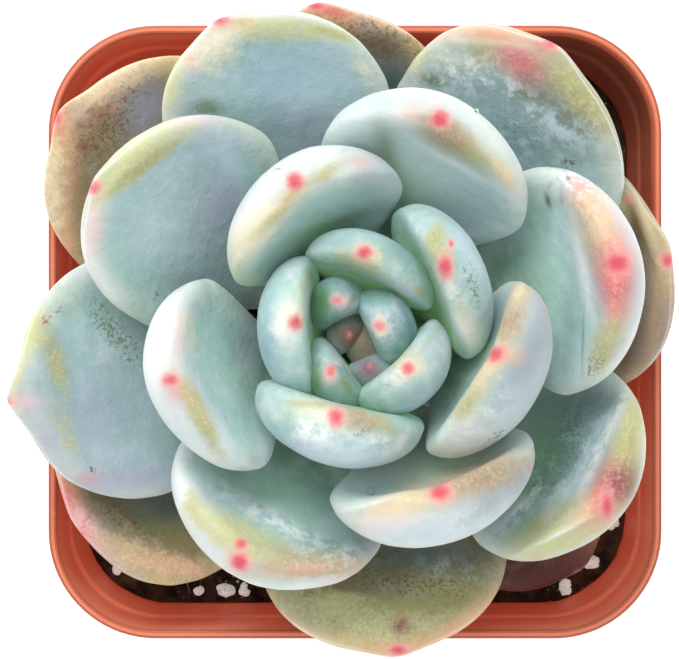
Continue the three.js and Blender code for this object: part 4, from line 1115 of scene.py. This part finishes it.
leaf_skins = {}
for number, leaf in enumerate(LEAVES, start=1):
    ring = leaf[0]
    grid, along, foot_pole, tip_pole = leaf_grid(leaf)
    rings, sectors = grid.shape[:2]
    marks = MARKS[number]
    normals = grid_normals(grid)
    gap, _ = rim_distance(grid, grid.reshape(-1, 3), tip_pole)
    above = np.where(np.sin(TURN) > 0, gap.reshape(rings, sectors), -1.0)
    lift = BIG_DENT[0] * lattice_noise(grid + 7 * number, BIG_DENT[1], 21)
    lift += SMALL_DENT[0] * lattice_noise(grid, SMALL_DENT[1], 22)
    swell = RIM_SWELL[ring] * np.exp(-((above - RIM_SWELL_AT) / RIM_SWELL_SPREAD) ** 2)
    lift += swell - HOLLOW[ring] * smooth(above, *HOLLOW_FROM_TO)
    seen = seen_at(grid.reshape(-1, 3))
    for _, *oval in marks.get("ridge", ()):
        lift += oval_cover(grid.reshape(-1, 3), seen, oval).reshape(rings, sectors)
    fade = smooth(along, 0.1, 0.4) * smooth(1 - along, 0.0, 0.02)
    grid = grid + normals * (lift * fade[:, None])[..., None]
    piece = add_skin(f"leaf_skin_{number:02d}", grid, foot_pole, tip_pole, FLESH[ring])
    points = np.vstack([grid.reshape(-1, 3), [foot_pole], [tip_pole]])
    leaf_skins[number] = (points, np.vstack([normals.reshape(-1, 3), [(0, 0, -1)], [(0, 0, 1)]]))
    gap, run = rim_distance(grid, points, tip_pole)
    upper = np.append(np.tile(np.where(np.sin(TURN) > 0, 1, -1), rings), [-1, 1])
    floats(piece, "margin", gap * upper)
    floats(piece, "along", np.append(np.repeat(along, sectors), [0, 1]))
    seen = seen_at(points)
    for layer in LAYERS:
        colours = np.zeros((len(points), 4))
        for tint, *oval in marks.get(layer, ()):
            colours = covered(colours, TINTS[tint], oval_cover(points, seen, oval))
        rgba(piece, layer, colours)
    floats(piece, "red", np.max([oval_cover(points, seen, oval) for oval in RED_SPOTS[number]], axis=0))
    corner = np.zeros(len(piece.data.loops), dtype=np.int32)
    piece.data.loops.foreach_get("vertex_index", corner)
    uv = piece.data.uv_layers.new(name="rim")
    uv.data.foreach_set("uv", np.stack([gap, run], axis=-1)[corner].astype(np.float32).ravel())
    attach(piece, ROOT)
    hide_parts(f"leaf_{number:02d}")

# Growing tip. The youngest leaves of all, still a folded greyish bud, that shows for 2 mm between the heart
# leaves. It grows from the top of the stem.
TIP_BUD = ("bud", 27, 0.0, 12.3, 96, 6.6, 5.2, 0, 0.0, 7.0, 0.1, 0)
grid, along, foot_pole, tip_pole = leaf_grid(TIP_BUD)
tip_flesh = Finish("growing_tip_flesh")
dusty = tip_flesh.noise(tip_flesh.place(), 1500.0, 3.0, 0.6)
tip_flesh.set(Base_Color=tip_flesh.mix(dusty, linear(104, 104, 80), linear(146, 134, 116)))
tip_flesh.set(Roughness=0.55)
tip_flesh.set(Subsurface_Weight=0.3, Subsurface_Radius=(0.8, 1.0, 0.6), Subsurface_Scale=0.001)
growing_tip = add_skin("growing_tip", grid, foot_pole, tip_pole, tip_flesh)
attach(growing_tip, ROOT)

# Water. Clear round beads left from watering. Each sits on the rim of a leaf, sunk by a part of its radius.
# A row gives the leaf's number, the bead's place on the picture and its radius.
BEADS = [(8, 317, 393, 0.30), (8, 344, 397, 0.26), (13, 371, 491, 0.42), (11, 447, 403, 0.36),
         (15, 482, 108, 0.20)]
BEAD_SUNK = 0.35
BEAD_SEARCH = 2.5  # pixels round that place in which the highest point is taken
water = Finish("water")
ripple = water.noise(water.place(), 500.0)
water.set(Base_Color=water.mix(ripple, linear(236, 246, 250), linear(250, 254, 255)))
water.set(Roughness=0.03, Transmission_Weight=1.0, IOR=1.33)
ball = ball_grid(rings=16, sectors=28)
for index, (number, across, down, radius) in enumerate(BEADS, start=1):
    points, outward = leaf_skins[number]
    off = np.linalg.norm(seen_at(points) - np.array([across, down]), axis=-1)
    close = np.flatnonzero(off < off.min() + BEAD_SEARCH)
    top = close[points[close, 2].argmax()]
    centre = points[top] + outward[top] * radius * (1 - BEAD_SUNK)
    down_pole, up_pole = centre - (0, 0, radius), centre + (0, 0, radius)
    bead = add_skin(f"water_bead_{index}", centre + radius * ball, down_pole, up_pole, water)
    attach(bead, ROOT)
